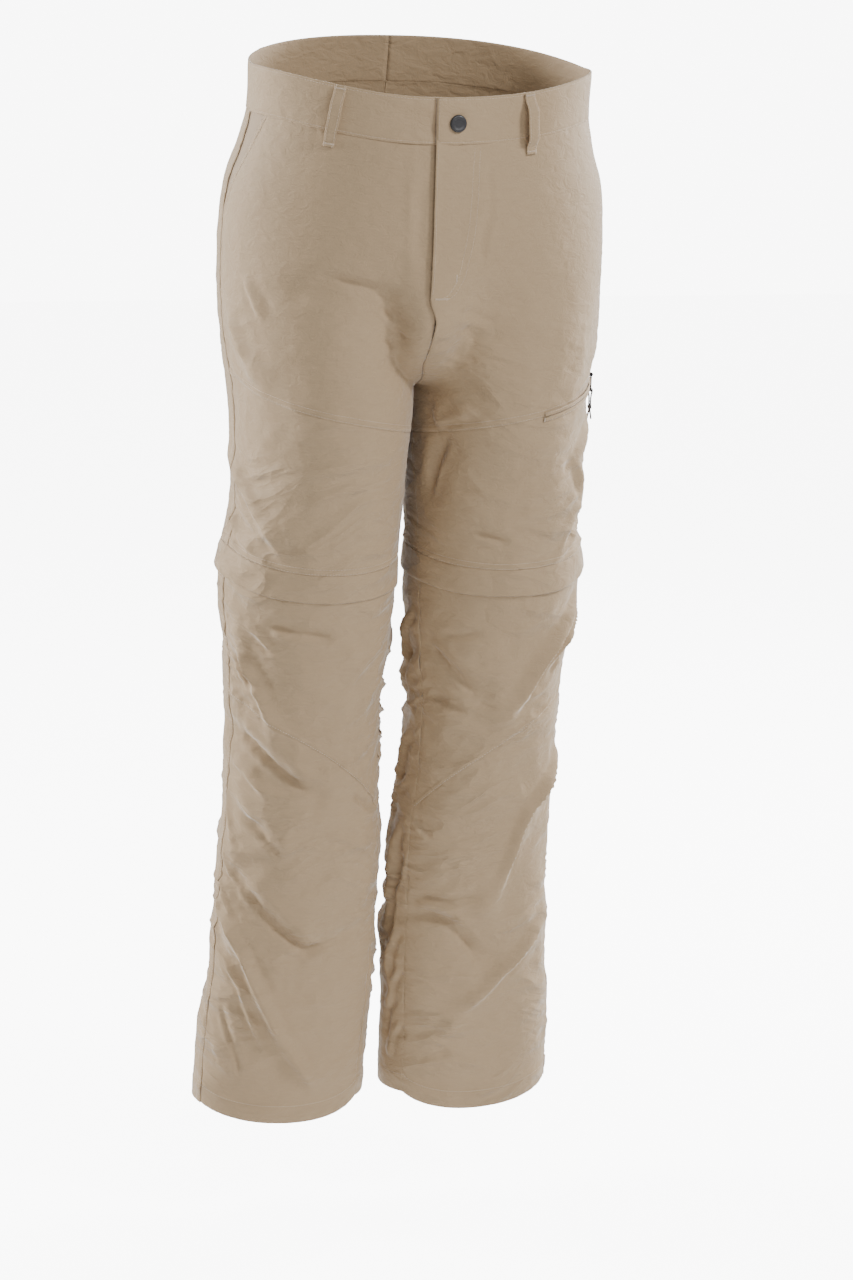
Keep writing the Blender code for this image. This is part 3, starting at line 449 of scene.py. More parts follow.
def along_path(around, levels, path):
    """Distance to a path on the cloth, how far along it the nearest point is (0 to 1), and which side."""
    corners = np.array([(METRES_AROUND * a, level * MM) for a, level in path])
    lengths = np.linalg.norm(np.diff(corners, axis=0), axis=1)
    reached = np.concatenate([[0], np.cumsum(lengths)]) / lengths.sum()
    best, share, hand = np.full(around.shape, np.inf), np.zeros(around.shape), np.zeros(around.shape)
    for turn in (-1, 0, 1):
        for i, length in enumerate(lengths):
            x0, y0 = corners[i][0] + turn * METRES_AROUND, corners[i][1]
            dx, dy = corners[i + 1] - corners[i]
            t = ((METRES_AROUND * around - x0) * dx + (levels - y0) * dy) / length**2
            t = np.clip(t, 0, 1)
            gap_x, gap_y = METRES_AROUND * around - x0 - t * dx, levels - y0 - t * dy
            gap = np.hypot(gap_x, gap_y)
            nearer = gap < best
            best = np.where(nearer, gap, best)
            share = np.where(nearer, mix(reached[i], reached[i + 1], t), share)
            hand = np.where(nearer, np.sign(dx) * (dx * gap_y - dy * gap_x) / (length * (gap + MM)), hand)
    return best, share, hand


# Folds fade out near the centre seams above this level, round the knee flap and at the hem
CENTRE_FADE_ABOVE, FOLD_CENTRE_FADE = -0.320, 0.06
FOLD_FLAP_START, FOLD_FLAP_END, FOLD_HEM_FADE = (-0.520, -0.500), (-0.455, -0.425), (-1.035, -1.000)


def off_centre(around, levels, reach):
    """0 at the centre seams and 1 past this share around from them. Below the crotch it is 1."""
    return np.where(levels > CENTRE_FADE_ABOVE, ease(0, reach, np.minimum(around, 1 - around)), 1)


def between(levels, start, end):
    """1 between two levels and 0 outside them, each with a soft edge."""
    return ease(*start, levels) * (1 - ease(*end, levels))


def fold_heights(side, around, levels):
    """The large folds, as the solids have them."""
    total = np.zeros(around.shape)
    for legs, half_width, height, path in FOLDS:
        if side in legs:
            gap, _, _ = along_path(around, levels, path)
            total += height * MM * np.exp(-((gap / (half_width * MM)) ** 2))
    total *= off_centre(around, levels, FOLD_CENTRE_FADE)
    total *= 1 - between(levels, FOLD_FLAP_START, FOLD_FLAP_END)
    return total * ease(*FOLD_HEM_FADE, levels)


CREASE_GAIN = 2.3
GENTLE_SIDE, STEEP_SIDE = 1.0, 0.55
CREASE_WOBBLE, CREASE_SWELL = 5 * MM, 0.5
HOLLOW_DEPTH, HOLLOW_AWAY = 0.35, 2.2
CREASE_END_FADE = (-0.02, 0.25)


def crease_heights(side, around, levels, points):
    """Finer creases: an uneven crest, gentle above and steep below, with a shallow hollow beside it."""
    total = np.zeros(around.shape)
    wobble = CREASE_WOBBLE * lumps(points, 0.030, 3)
    swell = 1 + CREASE_SWELL * lumps(points, 0.022, 4)
    for legs, half_width, height, path in CREASES:
        if side in legs:
            gap, share, hand = along_path(around + wobble / METRES_AROUND, levels + wobble, path)
            s = gap / (half_width * MM * mix(STEEP_SIDE, GENTLE_SIDE, (1 + hand) / 2))
            shape = np.exp(-(s**1.2)) - HOLLOW_DEPTH * np.exp(-((s - HOLLOW_AWAY) ** 2))
            ends = ease(*CREASE_END_FADE, share) * ease(*CREASE_END_FADE, 1 - share)
            total += CREASE_GAIN * height * MM * shape * ends * swell
    return total


print(len(FOLDS), "folds and", len(CREASES), "creases")

# %% [markdown]
# Between the placed creases the cloth is never flat. A soft crumple covers it, stronger where the
# table says that the cloth is slack, and its ridges lie mostly across the leg, as gravity stacks them.

# %% Soft crumple where the cloth is slack: how slack it is at each level
SLACK = (
    (0.0, 0.0), (-0.06, 0.10), (-0.14, 0.20), (-0.20, 0.45), (-0.27, 0.65), (-0.34, 0.85),
    (-0.40, 1.00), (-0.46, 0.85), (-0.50, 0.60), (-0.56, 1.10), (-0.70, 1.10), (-0.82, 1.00),
    (-0.95, 0.80), (-1.02, 0.40), (-1.07, 0.25),
)
CRUMPLE_HEIGHT, CRUMPLE_SIZE = 1.8 * MM, 0.042
RIPPLE_HEIGHT, RIPPLE_SIZE = 1.4 * MM, 0.012
CRUMPLE_BEND, CRUMPLE_LIE = 0.018, np.array([0.62, 0.62, 1.25])
OUTER_ZONE, INNER_ZONE, ZONE_WIDTH = 0.47, 0.96, 0.07
DRAG_HEIGHT, DRAG_SAG = 3.2 * MM, 0.055
DRAG_SIZE, DRAG_WIDTH, DRAG_BEND, DRAG_LIE = 0.024, 0.40, 0.020, 0.30


def drags(points, around, levels):
    """Long creases that hang from the seams at both sides towards the middle of a panel."""
    bend = DRAG_BEND * lumps(points, 0.075, 17)
    hung = levels + DRAG_SAG * np.abs(np.sin(2 * math.pi * around)) + bend
    lying = np.stack([points[..., 0] * DRAG_LIE, points[..., 1] * DRAG_LIE, hung], -1)
    crest = np.clip(1 - np.abs(lumps(lying, DRAG_SIZE, 18)) / DRAG_WIDTH, 0, 1) ** 1.6
    where = ease(-0.25, 0.45, lumps(points, 0.085, 19))
    return crest * where + 0.25 * lumps(lying, 0.030, 20)


def crumple(points, around, levels):
    """Broad ridges, crisp ripples and drags, stronger behind and next to the side seams."""
    slack = np.interp(-levels, [-level for level, _ in SLACK], [share for _, share in SLACK])
    behind = ease(0.52, 0.62, around) * ease(0.0, 0.08, 1 - around)
    outer_side = np.exp(-(((around - OUTER_ZONE) / ZONE_WIDTH) ** 2))
    inner_side = np.exp(-(((around - INNER_ZONE) / ZONE_WIDTH) ** 2))
    slack = slack * (1 + 0.5 * behind)
    bend = np.stack([lumps(points, 0.060, seed) for seed in (11, 12, 13)], -1) * CRUMPLE_BEND
    lying = (points + bend) * CRUMPLE_LIE
    patches = 0.5 + 0.5 * lumps(points, 0.075, 15)
    ridges = 1 - np.abs(lumps(lying, CRUMPLE_SIZE, 14)) ** 0.8 * 2.2
    ridges = CRUMPLE_HEIGHT * ridges * patches * (1 + 0.3 * inner_side)
    crisp = 1 - 2 * np.abs(lumps(lying, RIPPLE_SIZE, 16)) ** 0.7
    ripple = crisp * (0.3 + 0.7 * patches) * (0.6 + 0.4 * outer_side + 0.3 * inner_side)
    drag = DRAG_HEIGHT * drags(points, around, levels)
    drag = drag * (0.45 + 0.55 * np.maximum(outer_side, inner_side))
    return slack * (ridges + RIPPLE_HEIGHT * ripple + drag)


# %% [markdown]
# ## Panels
# A panel is a grid between four seams. The rows and columns crowd together near the seams, because
# that is where a seam allowance lifts the cloth by half a millimetre, where the stitch row pulls it
# down again, and where the thread draws it into short puckers.

# %% Grids that are finer at their edges
EDGE_STEPS = (0, 0.5, 1.2, 2.4, 4.2, 5.6, 6.6, 7.6, 9.0)
GRID_STEP = 2.7 * MM


def graded(length):
    near = np.array(EDGE_STEPS) * MM / length
    count = max(2, round((1 - 2 * near[-1]) * length / GRID_STEP))
    middle = np.linspace(near[-1], 1 - near[-1], count + 1)[1:-1]
    return np.concatenate([near, middle, 1 - near[::-1]])


BACK_SPLIT = 0.65


def panel_places(kind, side, s, t):
    """Around and level for the shares across (s) and down (t) a panel of this kind."""
    s, t = np.meshgrid(s, t)
    if kind == "front_upper":
        levels = mix(rise_level(FRONT_RISE_START, t), mix(-BAND_HEIGHT, YOKE_OUTSEAM, t), s)
        lap = LAP_AROUND * ease(FLY_END, FLY_BOTTOM, levels) if side == LEFT else 0
        return mix(-lap, pocket_around(levels), s), levels
    if kind == "back_upper":
        around = 0.5 + s / 2
        q = np.clip(t / BACK_SPLIT, 0, 1)
        upper = mix(mix(-BAND_HEIGHT, YOKE_OUTSEAM, q), rise_level(BACK_RISE_START, q), s)
        low = np.clip((t - BACK_SPLIT) / (1 - BACK_SPLIT), 0, 1)
        return around, mix(upper, flap_seam_level(around), low)
    if kind == "back_lower":
        around = 0.5 + s / 2
        return around, mix(lower_leg_top(around), hem_level(around), t)
    around = s / 2
    top, bottom = {
        "thigh_front": (yoke_level, flap_seam_level),
        "knee_panel": (lower_leg_top, knee_level),
        "shin": (knee_level, hem_level),
    }[kind]
    return around, mix(top(around), bottom(around), t)


# %% Seam relief and puckers
# Edge styles: (lift of the allowance in mm, its width in mm, pucker in mm)
EDGE_STYLES = {
    "over": (0.55, 7.2, 0.45),
    "under": (0.0, 1.0, 0.40),
    "side": (0.0, 1.0, 0.95),
    "side_over": (0.50, 7.2, 1.90),
    "seat_over": (0.50, 7.2, 0.60),
    "mouth": (0.40, 7.2, 0.15),
    "hem": (0.35, 21.0, 0.35),
    "hidden": (0.0, 1.0, 0.0),
    "fly": (0.35, 5.0, 0.15),
}
PUCKER_REACH, PUCKER_SIZE = 12 * MM, 7.5 * MM
STITCH_ROWS, GROOVE_DEPTH, GROOVE_WIDTH = (1.4 * MM, 6.4 * MM), 0.5 * MM, 0.9 * MM
EDGE_ROLL, EDGE_ROLL_WIDTH, ALLOWANCE_SLOPE = 0.55 * MM, 0.6 * MM, (0.6 * MM, 0.8 * MM)


def edge_distances(points):
    """Distance on the cloth from each grid point to the left, right, top and bottom edge."""
    across = np.linalg.norm(np.diff(points, axis=1), axis=-1)
    down = np.linalg.norm(np.diff(points, axis=0), axis=-1)
    left = np.concatenate([np.zeros((len(points), 1)), np.cumsum(across, axis=1)], axis=1)
    top = np.concatenate([np.zeros((1, points.shape[1])), np.cumsum(down, axis=0)], axis=0)
    return {"left": left, "right": left[:, -1:] - left, "top": top, "bottom": top[-1:] - top}


def seam_relief(points, around, levels, styles):
    """The lift of each seam allowance, the roll of its edge, its stitch grooves and its puckers."""
    total = np.zeros(around.shape)
    for edge, distance in edge_distances(points).items():
        lift, width, pucker = EDGE_STYLES[styles[edge]]
        slope = (width * MM - ALLOWANCE_SLOPE[0], width * MM + ALLOWANCE_SLOPE[1])
        total += lift * MM * (1 - ease(*slope, distance))
        if styles[edge] != "hidden":
            total -= EDGE_ROLL * np.exp(-distance / EDGE_ROLL_WIDTH)
        for row in STITCH_ROWS if styles[edge] in ("over", "mouth") else ():
            total -= GROOVE_DEPTH * np.exp(-(((distance - row) / GROOVE_WIDTH) ** 2))
        place = levels if edge in ("left", "right") else METRES_AROUND * around
        line = np.stack([place, np.zeros(place.shape), np.full(place.shape, 0.3)], -1)
        wave = lumps(line, PUCKER_SIZE, 21) + 0.9 * lumps(line, PUCKER_SIZE * 0.45, 22)
        strength = 0.55 + 0.45 * lumps(line, 0.05, 23)
        total += pucker * MM * wave * strength * np.exp(-distance / PUCKER_REACH)
    return total


# %% From grids to cloth objects
CLOTH_THICKNESS, TAPE_THICKNESS = 0.9 * MM, 0.8 * MM
FLY_CURL, FLY_CURL_REACH, FLY_CURL_FADE = 1.9 * MM, 9 * MM, (-0.205, -0.180)
pieces = {}
outer_grids = {}


def cloth_map(side, around, levels):
    """Where each point lies on the flat cloth, in metres, for the threads to follow."""
    return np.stack(np.broadcast_arrays(side * METRES_AROUND * around, levels), -1)


def grid_faces(rows, columns, start, flip, closed=False):
    """Faces of a grid. A closed one also joins its last column to its first."""
    wrap = columns if closed else columns - 1
    r, c = np.meshgrid(np.arange(rows - 1), np.arange(wrap), indexing="ij")
    right = (c + 1) % columns
    corners = [r * columns + c, (r + 1) * columns + c, (r + 1) * columns + right, r * columns + right]
    faces = np.stack(corners, -1).reshape(-1, 4) + start
    return faces[:, ::-1] if flip else faces


def make_mesh(name, grids):
    """One mesh from grids, each (points, places, flip, closed), with a cloth map in metres."""
    verts, faces, places, start = [], [], [], 0
    for points, place, flip, closed in grids:
        rows, columns = points.shape[:2]
        verts.append(points.reshape(-1, 3))
        places.append(place.reshape(-1, 2))
        faces.append(grid_faces(rows, columns, start, flip, closed))
        start += rows * columns
    verts, faces, places = np.concatenate(verts), np.concatenate(faces), np.concatenate(places)
    mesh = bpy.data.meshes.new(name)
    mesh.from_pydata(verts.tolist(), [], faces.tolist())
    layer = mesh.uv_layers.new(name="cloth")
    corner = np.empty(len(mesh.loops), np.int32)
    mesh.loops.foreach_get("vertex_index", corner)
    layer.data.foreach_set("uv", places[corner].astype(np.float32).ravel())
    mesh.shade_smooth()
    pieces[name] = in_scene(name, mesh)
    return pieces[name]


def stand_for(piece, node):
    """Shows a piece in place of the solid of the same name."""
    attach(piece, "trousers")
    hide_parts(node)


def cloth_piece(name, node, grids, thickness):
    """One cloth piece from its outer grids, with its thickness laid inward."""
    piece = make_mesh(name, grids)
    wall = piece.modifiers.new("cloth thickness", "SOLIDIFY")
    wall.thickness = thickness
    wall.offset = -1
    stand_for(piece, node)


def keep_to_own_side(points, side, around, levels):
    """Stops the rise seams of the two sides from crossing each other, below the lap of the fly."""
    seam = bare_surface(side, np.where(around <= 0.5, 0.0, 1.0), levels)[..., 0]
    least = np.where(levels > CROTCH_LEVEL - 1e-6, side * seam, 0)
    free = (levels > BACK_RISE_START) | ((around <= 0.5) & (levels > FLY_END))
    points[..., 0] = np.where(free, points[..., 0], side * np.maximum(side * points[..., 0], least))


FINE_CENTRE_FADE, FINE_AT_HEM, FINE_HEM_FADE = 0.05, 0.35, (-1.045, -1.015)
FINE_LOST_AT_FLAP, FINE_FLAP_START, FINE_FLAP_END = 0.6, (-0.505, -0.492), (-0.462, -0.448)


def cloth_points(side, around, levels, out=0.0, relief=0.0):
    """Points of the cloth with its folds, its creases, a lift off the surface and its seam relief."""
    bare = bare_surface(side, around, levels)
    near_flap = between(levels, FINE_FLAP_START, FINE_FLAP_END)
    fade = off_centre(around, levels, FINE_CENTRE_FADE) * (1 - FINE_LOST_AT_FLAP * near_flap)
    fade = fade * mix(FINE_AT_HEM, 1, ease(*FINE_HEM_FADE, levels))
    fine = crease_heights(side, around, levels, bare) + crumple(bare, around, levels)
    return raised(side, around, levels, fold_heights(side, around, levels) + fine * fade + out + relief)


TUCK, TUCK_DEPTH, BAND_TUCK_DEPTH = 5 * MM, 1.3 * MM, 0.4 * MM
TUCK_MOVES = {
    "left": ((slice(None), 0), -TUCK / METRES_AROUND, 0, TUCK_DEPTH),
    "right": ((slice(None), -1), TUCK / METRES_AROUND, 0, TUCK_DEPTH),
    "top": ((0, slice(None)), 0, TUCK, TUCK_DEPTH),
    "band": ((0, slice(None)), 0, TUCK, BAND_TUCK_DEPTH),
}


def tuck_edges(points, side, around, levels, out, edges):
    """Carries the named edges on, under the neighbour that they are sewn to, so no seam gapes."""
    tucked = points.copy()
    out = np.broadcast_to(out, around.shape)
    for edge in edges:
        line, along, up, depth = TUCK_MOVES[edge]
        tucked[line] = cloth_points(side, around[line] + along, levels[line] + up, out[line] - depth)
    return tucked


# Kind, size across and down in metres, the style of its left, right, top and bottom edge, tucked edges
PANELS = (
    ("front_upper", 0.24, 0.30, ("under", "mouth", "under", "over"), ("band",)),
    ("thigh_front", 0.25, 0.14, ("side", "side", "under", "over"), ("left", "right", "top")),
    ("back_upper", 0.26, 0.45, ("seat_over", "under", "under", "over"), ("band",)),
    ("knee_panel", 0.24, 0.20, ("side", "side", "hidden", "over"), ("left", "right")),
    ("shin", 0.23, 0.38, ("side", "side", "under", "hem"), ("left", "right", "top")),
    ("back_lower", 0.25, 0.58, ("side_over", "side", "hidden", "hem"), ()),
)
for kind, width, length, styles, tucks in PANELS:
    for side, side_name in SIDES.items():
        s, t = graded(width), graded(length)
        around, levels = panel_places(kind, side, s, t)
        styles_here = dict(zip(("left", "right", "top", "bottom"), styles))
        out = 0.0
        if kind == "front_upper" and side == LEFT:
            styles_here["left"] = "fly"
            edge = np.maximum(around + LAP_AROUND, 0) * METRES_AROUND
            curl = FLY_CURL * np.exp(-edge / FLY_CURL_REACH) * ease(*FLY_CURL_FADE, levels)
            out = lap_raise(around, levels, LAP_RAISE) + curl
        bare = bare_surface(side, around, levels)
        relief = seam_relief(bare, around, levels, styles_here)
        points = cloth_points(side, around, levels, out, relief)
        keep_to_own_side(points, side, around, levels)
        name = f"{kind}_{side_name}"
        tucked = tuck_edges(points, side, around, levels, out, tucks)
        grids = [(tucked, cloth_map(side, around, levels), side == RIGHT, False)]
        cloth_piece(f"cloth_{name}", name, grids, CLOTH_THICKNESS)
        outer_grids[name] = {"points": points, "s": s, "t": t, "side": side}
print("panels:", sum(len(p.data.polygons) for p in pieces.values()), "faces")

# %% [markdown]
# ## Waistband, knee flaps and pocket facings
# The waistband is two layers of cloth folded over at the top, so its section is a closed shape with a
# rounded top and bottom, carried around the waist. The knee flap hangs free over the zip of the
# removable leg: its lower edge stands a little off and wavers. The facing is what shows behind the
# slanted mouth of a hand pocket.

# %% Waistband halves
BAND_THICKNESS, BAND_STITCH_DEPTH, BAND_COLUMNS = 2.4 * MM, 0.45 * MM, 190
BAND_ROUNDING, BAND_CORNER = 1.0 * MM, 0.5 * MM
BAND_WAVE, TAB_WRINKLE, TAB_REACH = 0.7 * MM, 2.1 * MM, 0.16
BAND_ROWS = (2.4 * MM, 41.6 * MM)
BAND_DROPS = (0.15, 0.6, 1.4, 2.4, 3.4, 6, 10, 15, 20, 25, 30, 35, 38, 40.6, 41.6, 42.6, 43.4, 43.9)


def band_profile():
    """Rows of (drop, how far out) from the top of the outer side, down it and up the inner side."""
    drops = np.array(BAND_DROPS) * MM
    corner = np.minimum(drops, BAND_HEIGHT - drops)
    pulled = sum(np.exp(-(((drops - row) / GROOVE_WIDTH) ** 2)) for row in BAND_ROWS)
    rounding = BAND_ROUNDING * np.exp(-corner / BAND_CORNER)
    outer = BAND_RAISE - rounding - BAND_STITCH_DEPTH * pulled
    inner = np.minimum(BAND_RAISE - BAND_THICKNESS + rounding * 0.9, outer)
    return np.concatenate([drops, drops[::-1]]), np.concatenate([outer, inner[::-1]])


def strip_mesh(name, points, place):
    """A mesh from a grid whose rows go round a closed profile and whose columns run along the strip."""
    rows, columns = points.shape[:2]
    turned = np.swapaxes(points, 0, 1)
    obj = make_mesh(name, [(turned, np.swapaxes(place, 0, 1), False, True)])
    bm = bmesh.new()
    bm.from_mesh(obj.data)
    bm.verts.ensure_lookup_table()
    for column in (0, columns - 1):
        for row in range(rows // 2 - 1):
            ring = (row, row + 1, rows - 2 - row, rows - 1 - row)
            bm.faces.new([bm.verts[column * rows + r] for r in ring])
    bmesh.ops.recalc_face_normals(bm, faces=bm.faces[:])
    bm.to_mesh(obj.data)
    bm.free()
    obj.data.shade_smooth()
    return obj


drops, outs = band_profile()
for side, side_name in SIDES.items():
    start = -LAP_AROUND if side == LEFT else 0.0
    levels, around = np.broadcast_arrays(-drops[:, None], np.linspace(start, 1, BAND_COLUMNS)[None, :])
    bare = bare_surface(side, around, levels)
    line = np.stack([METRES_AROUND * around, 0 * levels, 0 * levels], -1)
    pucker = 0.22 * MM * lumps(line, 0.009, 31) * np.exp(-(((levels + BAND_HEIGHT) / 0.011) ** 2))
    pucker += 0.15 * MM * lumps(line, 0.010, 32) * np.exp(-((levels / 0.008) ** 2))
    wave = BAND_WAVE * lumps(bare, 0.055, 33) * ease(0, 0.06, np.minimum(around, 1 - around))
    if side == RIGHT:
        near_stud = np.exp(-((around / TAB_REACH) ** 2))
        wave = wave + TAB_WRINKLE * lumps(bare * [0.5, 0.5, 1.6], 0.018, 34) * near_stud
    out = outs[:, None] + pucker + wave
    if side == LEFT:
        out = out + lap_raise(around, levels, BAND_LAP_RAISE)
    points = raised(side, around, levels, out)
    name = f"waistband_{side_name}"
    stand_for(strip_mesh(f"cloth_{name}", points, cloth_map(side, around, levels)), name)
    half = len(BAND_DROPS)
    outer_grids[name] = {
        "points": points[:half], "s": np.linspace(0, 1, BAND_COLUMNS), "t": drops[:half] / BAND_HEIGHT,
        "side": side,
    }
print("waistband profile has", len(drops), "points")

# %% Knee flaps: drop below the seam, stand off the leg and share of the flare, at four steps in mm
FLAP_STEPS = ((0, 0.4, 0.0), (5, 1.3, 0.3), (15, 2.1, 0.7), (27, 2.9, 1.0))
FLAP_DROPS = (0, 0.5, 1.3, 2.4, 3.6, 5.2, 8, 11, 14, 17, 20, 22.5, 24.4, 25.6, 26.4, 27.0)
FLAP_FLARE, FLAP_FLARE_WIDTH, FLAP_COLUMNS, FLAP_THICKNESS = 2.5 * MM, 0.06, 168, 1.2 * MM
RING_CRUMPLE = 0.35


def ring_points(side, levels, around, out):
    """Points of a ring round the leg, at a height off it, with the folds and a little of the crumple."""
    levels, around, out = np.broadcast_arrays(levels, around, out)
    fine = crumple(bare_surface(side, around, levels), around, levels) * RING_CRUMPLE
    return raised(side, around, levels, out + fold_heights(side, around, levels) + fine)


for side, side_name in SIDES.items():
    around = np.arange(FLAP_COLUMNS)[None, :] / FLAP_COLUMNS
    drops, full = np.array(FLAP_DROPS)[:, None], FLAP_DROPS[-1]
    step_drops, step_stands, step_shares = zip(*FLAP_STEPS)
    stand = np.interp(drops, step_drops, step_stands)
    share = np.interp(drops, step_drops, step_shares)
    flare = FLAP_FLARE * np.exp(-(((around - 0.5) / FLAP_FLARE_WIDTH) ** 2))
    seat = bare_surface(side, around, flap_seam_level(around))
    free = (drops / full) ** 1.5
    waver = free * (1.1 * MM * lumps(seat, 0.035, 41) + 0.4 * MM * lumps(seat, 0.012, 42))
    pucker = 0.5 * MM * lumps(seat, 0.007, 43) * np.exp(-drops / 6)
    roll = 0.7 * MM * np.exp(-(full - drops) / 0.8) + 0.5 * MM * np.exp(-drops / 0.7)
    out = stand * MM + flare * share + waver + pucker - roll
    levels = flap_seam_level(around) - drops * MM + 0.8 * MM * free * lumps(seat, 0.05, 44)
    points = ring_points(side, levels, around, out)
    name = f"knee_flap_{side_name}"
    grids = [(points, cloth_map(side, around, levels), side == RIGHT, True)]
    cloth_piece(f"cloth_{name}", name, grids, FLAP_THICKNESS)
    outer_grids[name] = {
        "points": np.concatenate([points, points[:, :1]], axis=1), "s": np.linspace(0, 1, FLAP_COLUMNS + 1),
        "t": drops[:, 0] / full, "side": side,
    }
print("knee flaps hang", FLAP_HEIGHT / MM, "mm down")

# %% The zip tape ring under each flap, and the pocket facings
ZIP_RING_ABOVE, ZIP_RING_BELOW, ZIP_RING_IN = 4 * MM, 12 * MM, 2.0 * MM
ZIP_RING_ROWS, FACING_ROWS, FACING_COLUMNS = 9, 40, 24
FACING_DROP, FACING_TOP, FACING_BOTTOM, FACING_TUCK = 1.7 * MM, 3 * MM, -0.150, 0.03
FACING_RISE, FACING_RISE_FROM = 0.7 * MM, 0.492
for side, side_name in SIDES.items():
    around = np.arange(FLAP_COLUMNS)[None, :] / FLAP_COLUMNS
    drops = np.linspace(-ZIP_RING_ABOVE, ZIP_RING_BELOW, ZIP_RING_ROWS)[:, None]
    levels = flap_seam_level(around) - drops
    points = ring_points(side, levels, around, -ZIP_RING_IN)
    name = f"knee_zip_{side_name}"
    grids = [(points, cloth_map(side, around, levels), side == RIGHT, True)]
    cloth_piece(f"tape_{name}", name, grids, TAPE_THICKNESS)
    outer_grids[name] = {"points": np.concatenate([points, points[:, :1]], axis=1)}

    levels = np.linspace(-BAND_HEIGHT + FACING_TOP, FACING_BOTTOM, FACING_ROWS)[:, None]
    around = mix(pocket_around(levels) - FACING_TUCK, 0.5, np.linspace(0, 1, FACING_COLUMNS)[None, :])
    levels = levels + 0 * around
    rise = FACING_RISE * ease(FACING_RISE_FROM, 0.5, around)
    points = cloth_points(side, around, levels, rise - FACING_DROP)
    name = f"pocket_facing_{side_name}"
    grids = [(points, cloth_map(side, around, levels), side == RIGHT, False)]
    cloth_piece(f"cloth_{name}", name, grids, TAPE_THICKNESS)
    outer_grids[name] = {"points": points}
print("zip tapes and pocket facings made")

# %% [markdown]
# ## Belt loops and the welt of the thigh zip
# A belt loop is a folded strip, sewn down at both ends and bowed between them. The welt is a pair of
# narrow lips along the thigh seam, with the coil of the zip showing as a fine line between them.

# %% Belt loops: name, side, and place around at the top and at the bottom
LOOPS = (
    ("belt_loop_front_right", RIGHT, 0.200, 0.222),
    ("belt_loop_front_left", LEFT, 0.140, 0.146),
    ("belt_loop_back_right", RIGHT, 0.700, 0.700),
    ("belt_loop_back_left", LEFT, 0.700, 0.700),
    ("belt_loop_back_centre", LEFT, 1.0, 1.0),
)
LOOP_WIDTH, LOOP_TOP, LOOP_BOTTOM = 11 * MM, -0.001, -0.058
LOOP_THICKNESS, LOOP_BOW, CLEAR = 1.5 * MM, 6.4 * MM, 0.35 * MM
LOOP_LIFT, LOOP_STEP, LOOP_OFF_BAND, LOOP_NUDGE = (0.06, 0.30), (0.76, 0.92), 1.6 * MM, 0.002
LOOP_ACROSS = np.array([-1, -0.95, -0.84, -0.7, -0.62, -0.5, -0.25, 0, 0.25, 0.5, 0.62, 0.7, 0.84, 0.95, 1])
for number, (name, side, around_top, around_bottom) in enumerate(LOOPS):
    share = graded(LOOP_TOP - LOOP_BOTTOM)[:, None]
    levels = mix(LOOP_TOP, LOOP_BOTTOM, share)
    centre = mix(around_top, around_bottom, share)
    after, before = (bare_surface(side, centre + nudge, levels) for nudge in (LOOP_NUDGE, -LOOP_NUDGE))
    half = LOOP_WIDTH / 2 / (np.linalg.norm(after - before, axis=-1) / (2 * LOOP_NUDGE))
    around = centre + half * LOOP_ACROSS[None, :]
    levels = levels + 0 * around
    bow = ease(*LOOP_LIFT, share) * ease(*LOOP_LIFT, 1 - share)
    out = CLEAR + LOOP_OFF_BAND + BAND_RAISE * (1 - ease(*LOOP_STEP, share)) + LOOP_BOW * bow
    edge = LOOP_WIDTH / 2 * (1 - np.abs(LOOP_ACROSS))[None, :]
    out = out - 0.6 * MM * np.exp(-edge / (0.4 * MM)) - 0.2 * MM * np.exp(-(((edge - 1.7 * MM) / MM) ** 2))
    out = out + 0.25 * MM * lumps(bare_surface(side, around, levels), 0.012, 51 + number)
    out = out + 0.3 * MM * np.abs(LOOP_ACROSS)[None, :] * bow
    points = raised(side, around, levels, out + fold_heights(side, around, levels))
    grids = [(points, cloth_map(LEFT, around, levels), side == RIGHT, False)]
    cloth_piece(f"cloth_{name}", name, grids, LOOP_THICKNESS)
    outer_grids[name] = {"points": points, "s": (LOOP_ACROSS + 1) / 2, "t": share[:, 0], "side": side}
print(len(LOOPS), "belt loops made")

# %% Welt of the thigh zip
WELT_START, WELT_END, WELT_HALF = 0.2708, 0.4896, 4.6 * MM
WELT_RAISE, WELT_THICKNESS, WELT_SLIT = 1.5 * MM, 0.9 * MM, 0.35 * MM
WELT_ROLL, WELT_END_ROLL, WELT_BULGE = 0.8 * MM, 0.6 * MM, 0.35 * MM
WELT_ACROSS = (0, 0.06, 0.18, 0.36, 0.55, 0.72, 0.84, 0.94, 1)
lips = []
for lip, sign in (("upper", 1), ("lower", -1)):
    around = graded(METRES_AROUND * (WELT_END - WELT_START)) * (WELT_END - WELT_START) + WELT_START
    across = np.array(WELT_ACROSS)[:, None]
    away = mix(WELT_SLIT, WELT_HALF, across)
    levels = yoke_level(around)[None, :] + sign * away
    edge = np.minimum(across, 1 - across) * WELT_HALF
    ends = np.minimum(around - WELT_START, WELT_END - around)[None, :] * METRES_AROUND
    roll = WELT_ROLL * np.exp(-edge / (0.5 * MM)) + WELT_END_ROLL * np.exp(-ends / (0.6 * MM))
    bulge = WELT_BULGE * np.sin(np.pi * across)
    line = np.stack([METRES_AROUND * around, 0 * around, 0 * around], -1)[None]
    out = WELT_RAISE - roll + bulge + 0.2 * MM * lumps(line + sign * 0.1, 0.009, 61)
    around = np.broadcast_to(around, levels.shape)
    points = raised(LEFT, around, levels, out + fold_heights(LEFT, around, levels))
    place = cloth_map(LEFT, around, levels)
    down = slice(None, None, -sign)
    lips.append((points[down], place[down], False, False))
    outer_grids[f"welt_{lip}"] = {
        "points": points, "s": np.linspace(0, 1, around.shape[1]), "t": across[:, 0], "side": LEFT,
    }
cloth_piece("cloth_thigh_zip", "thigh_zip", lips, WELT_THICKNESS)
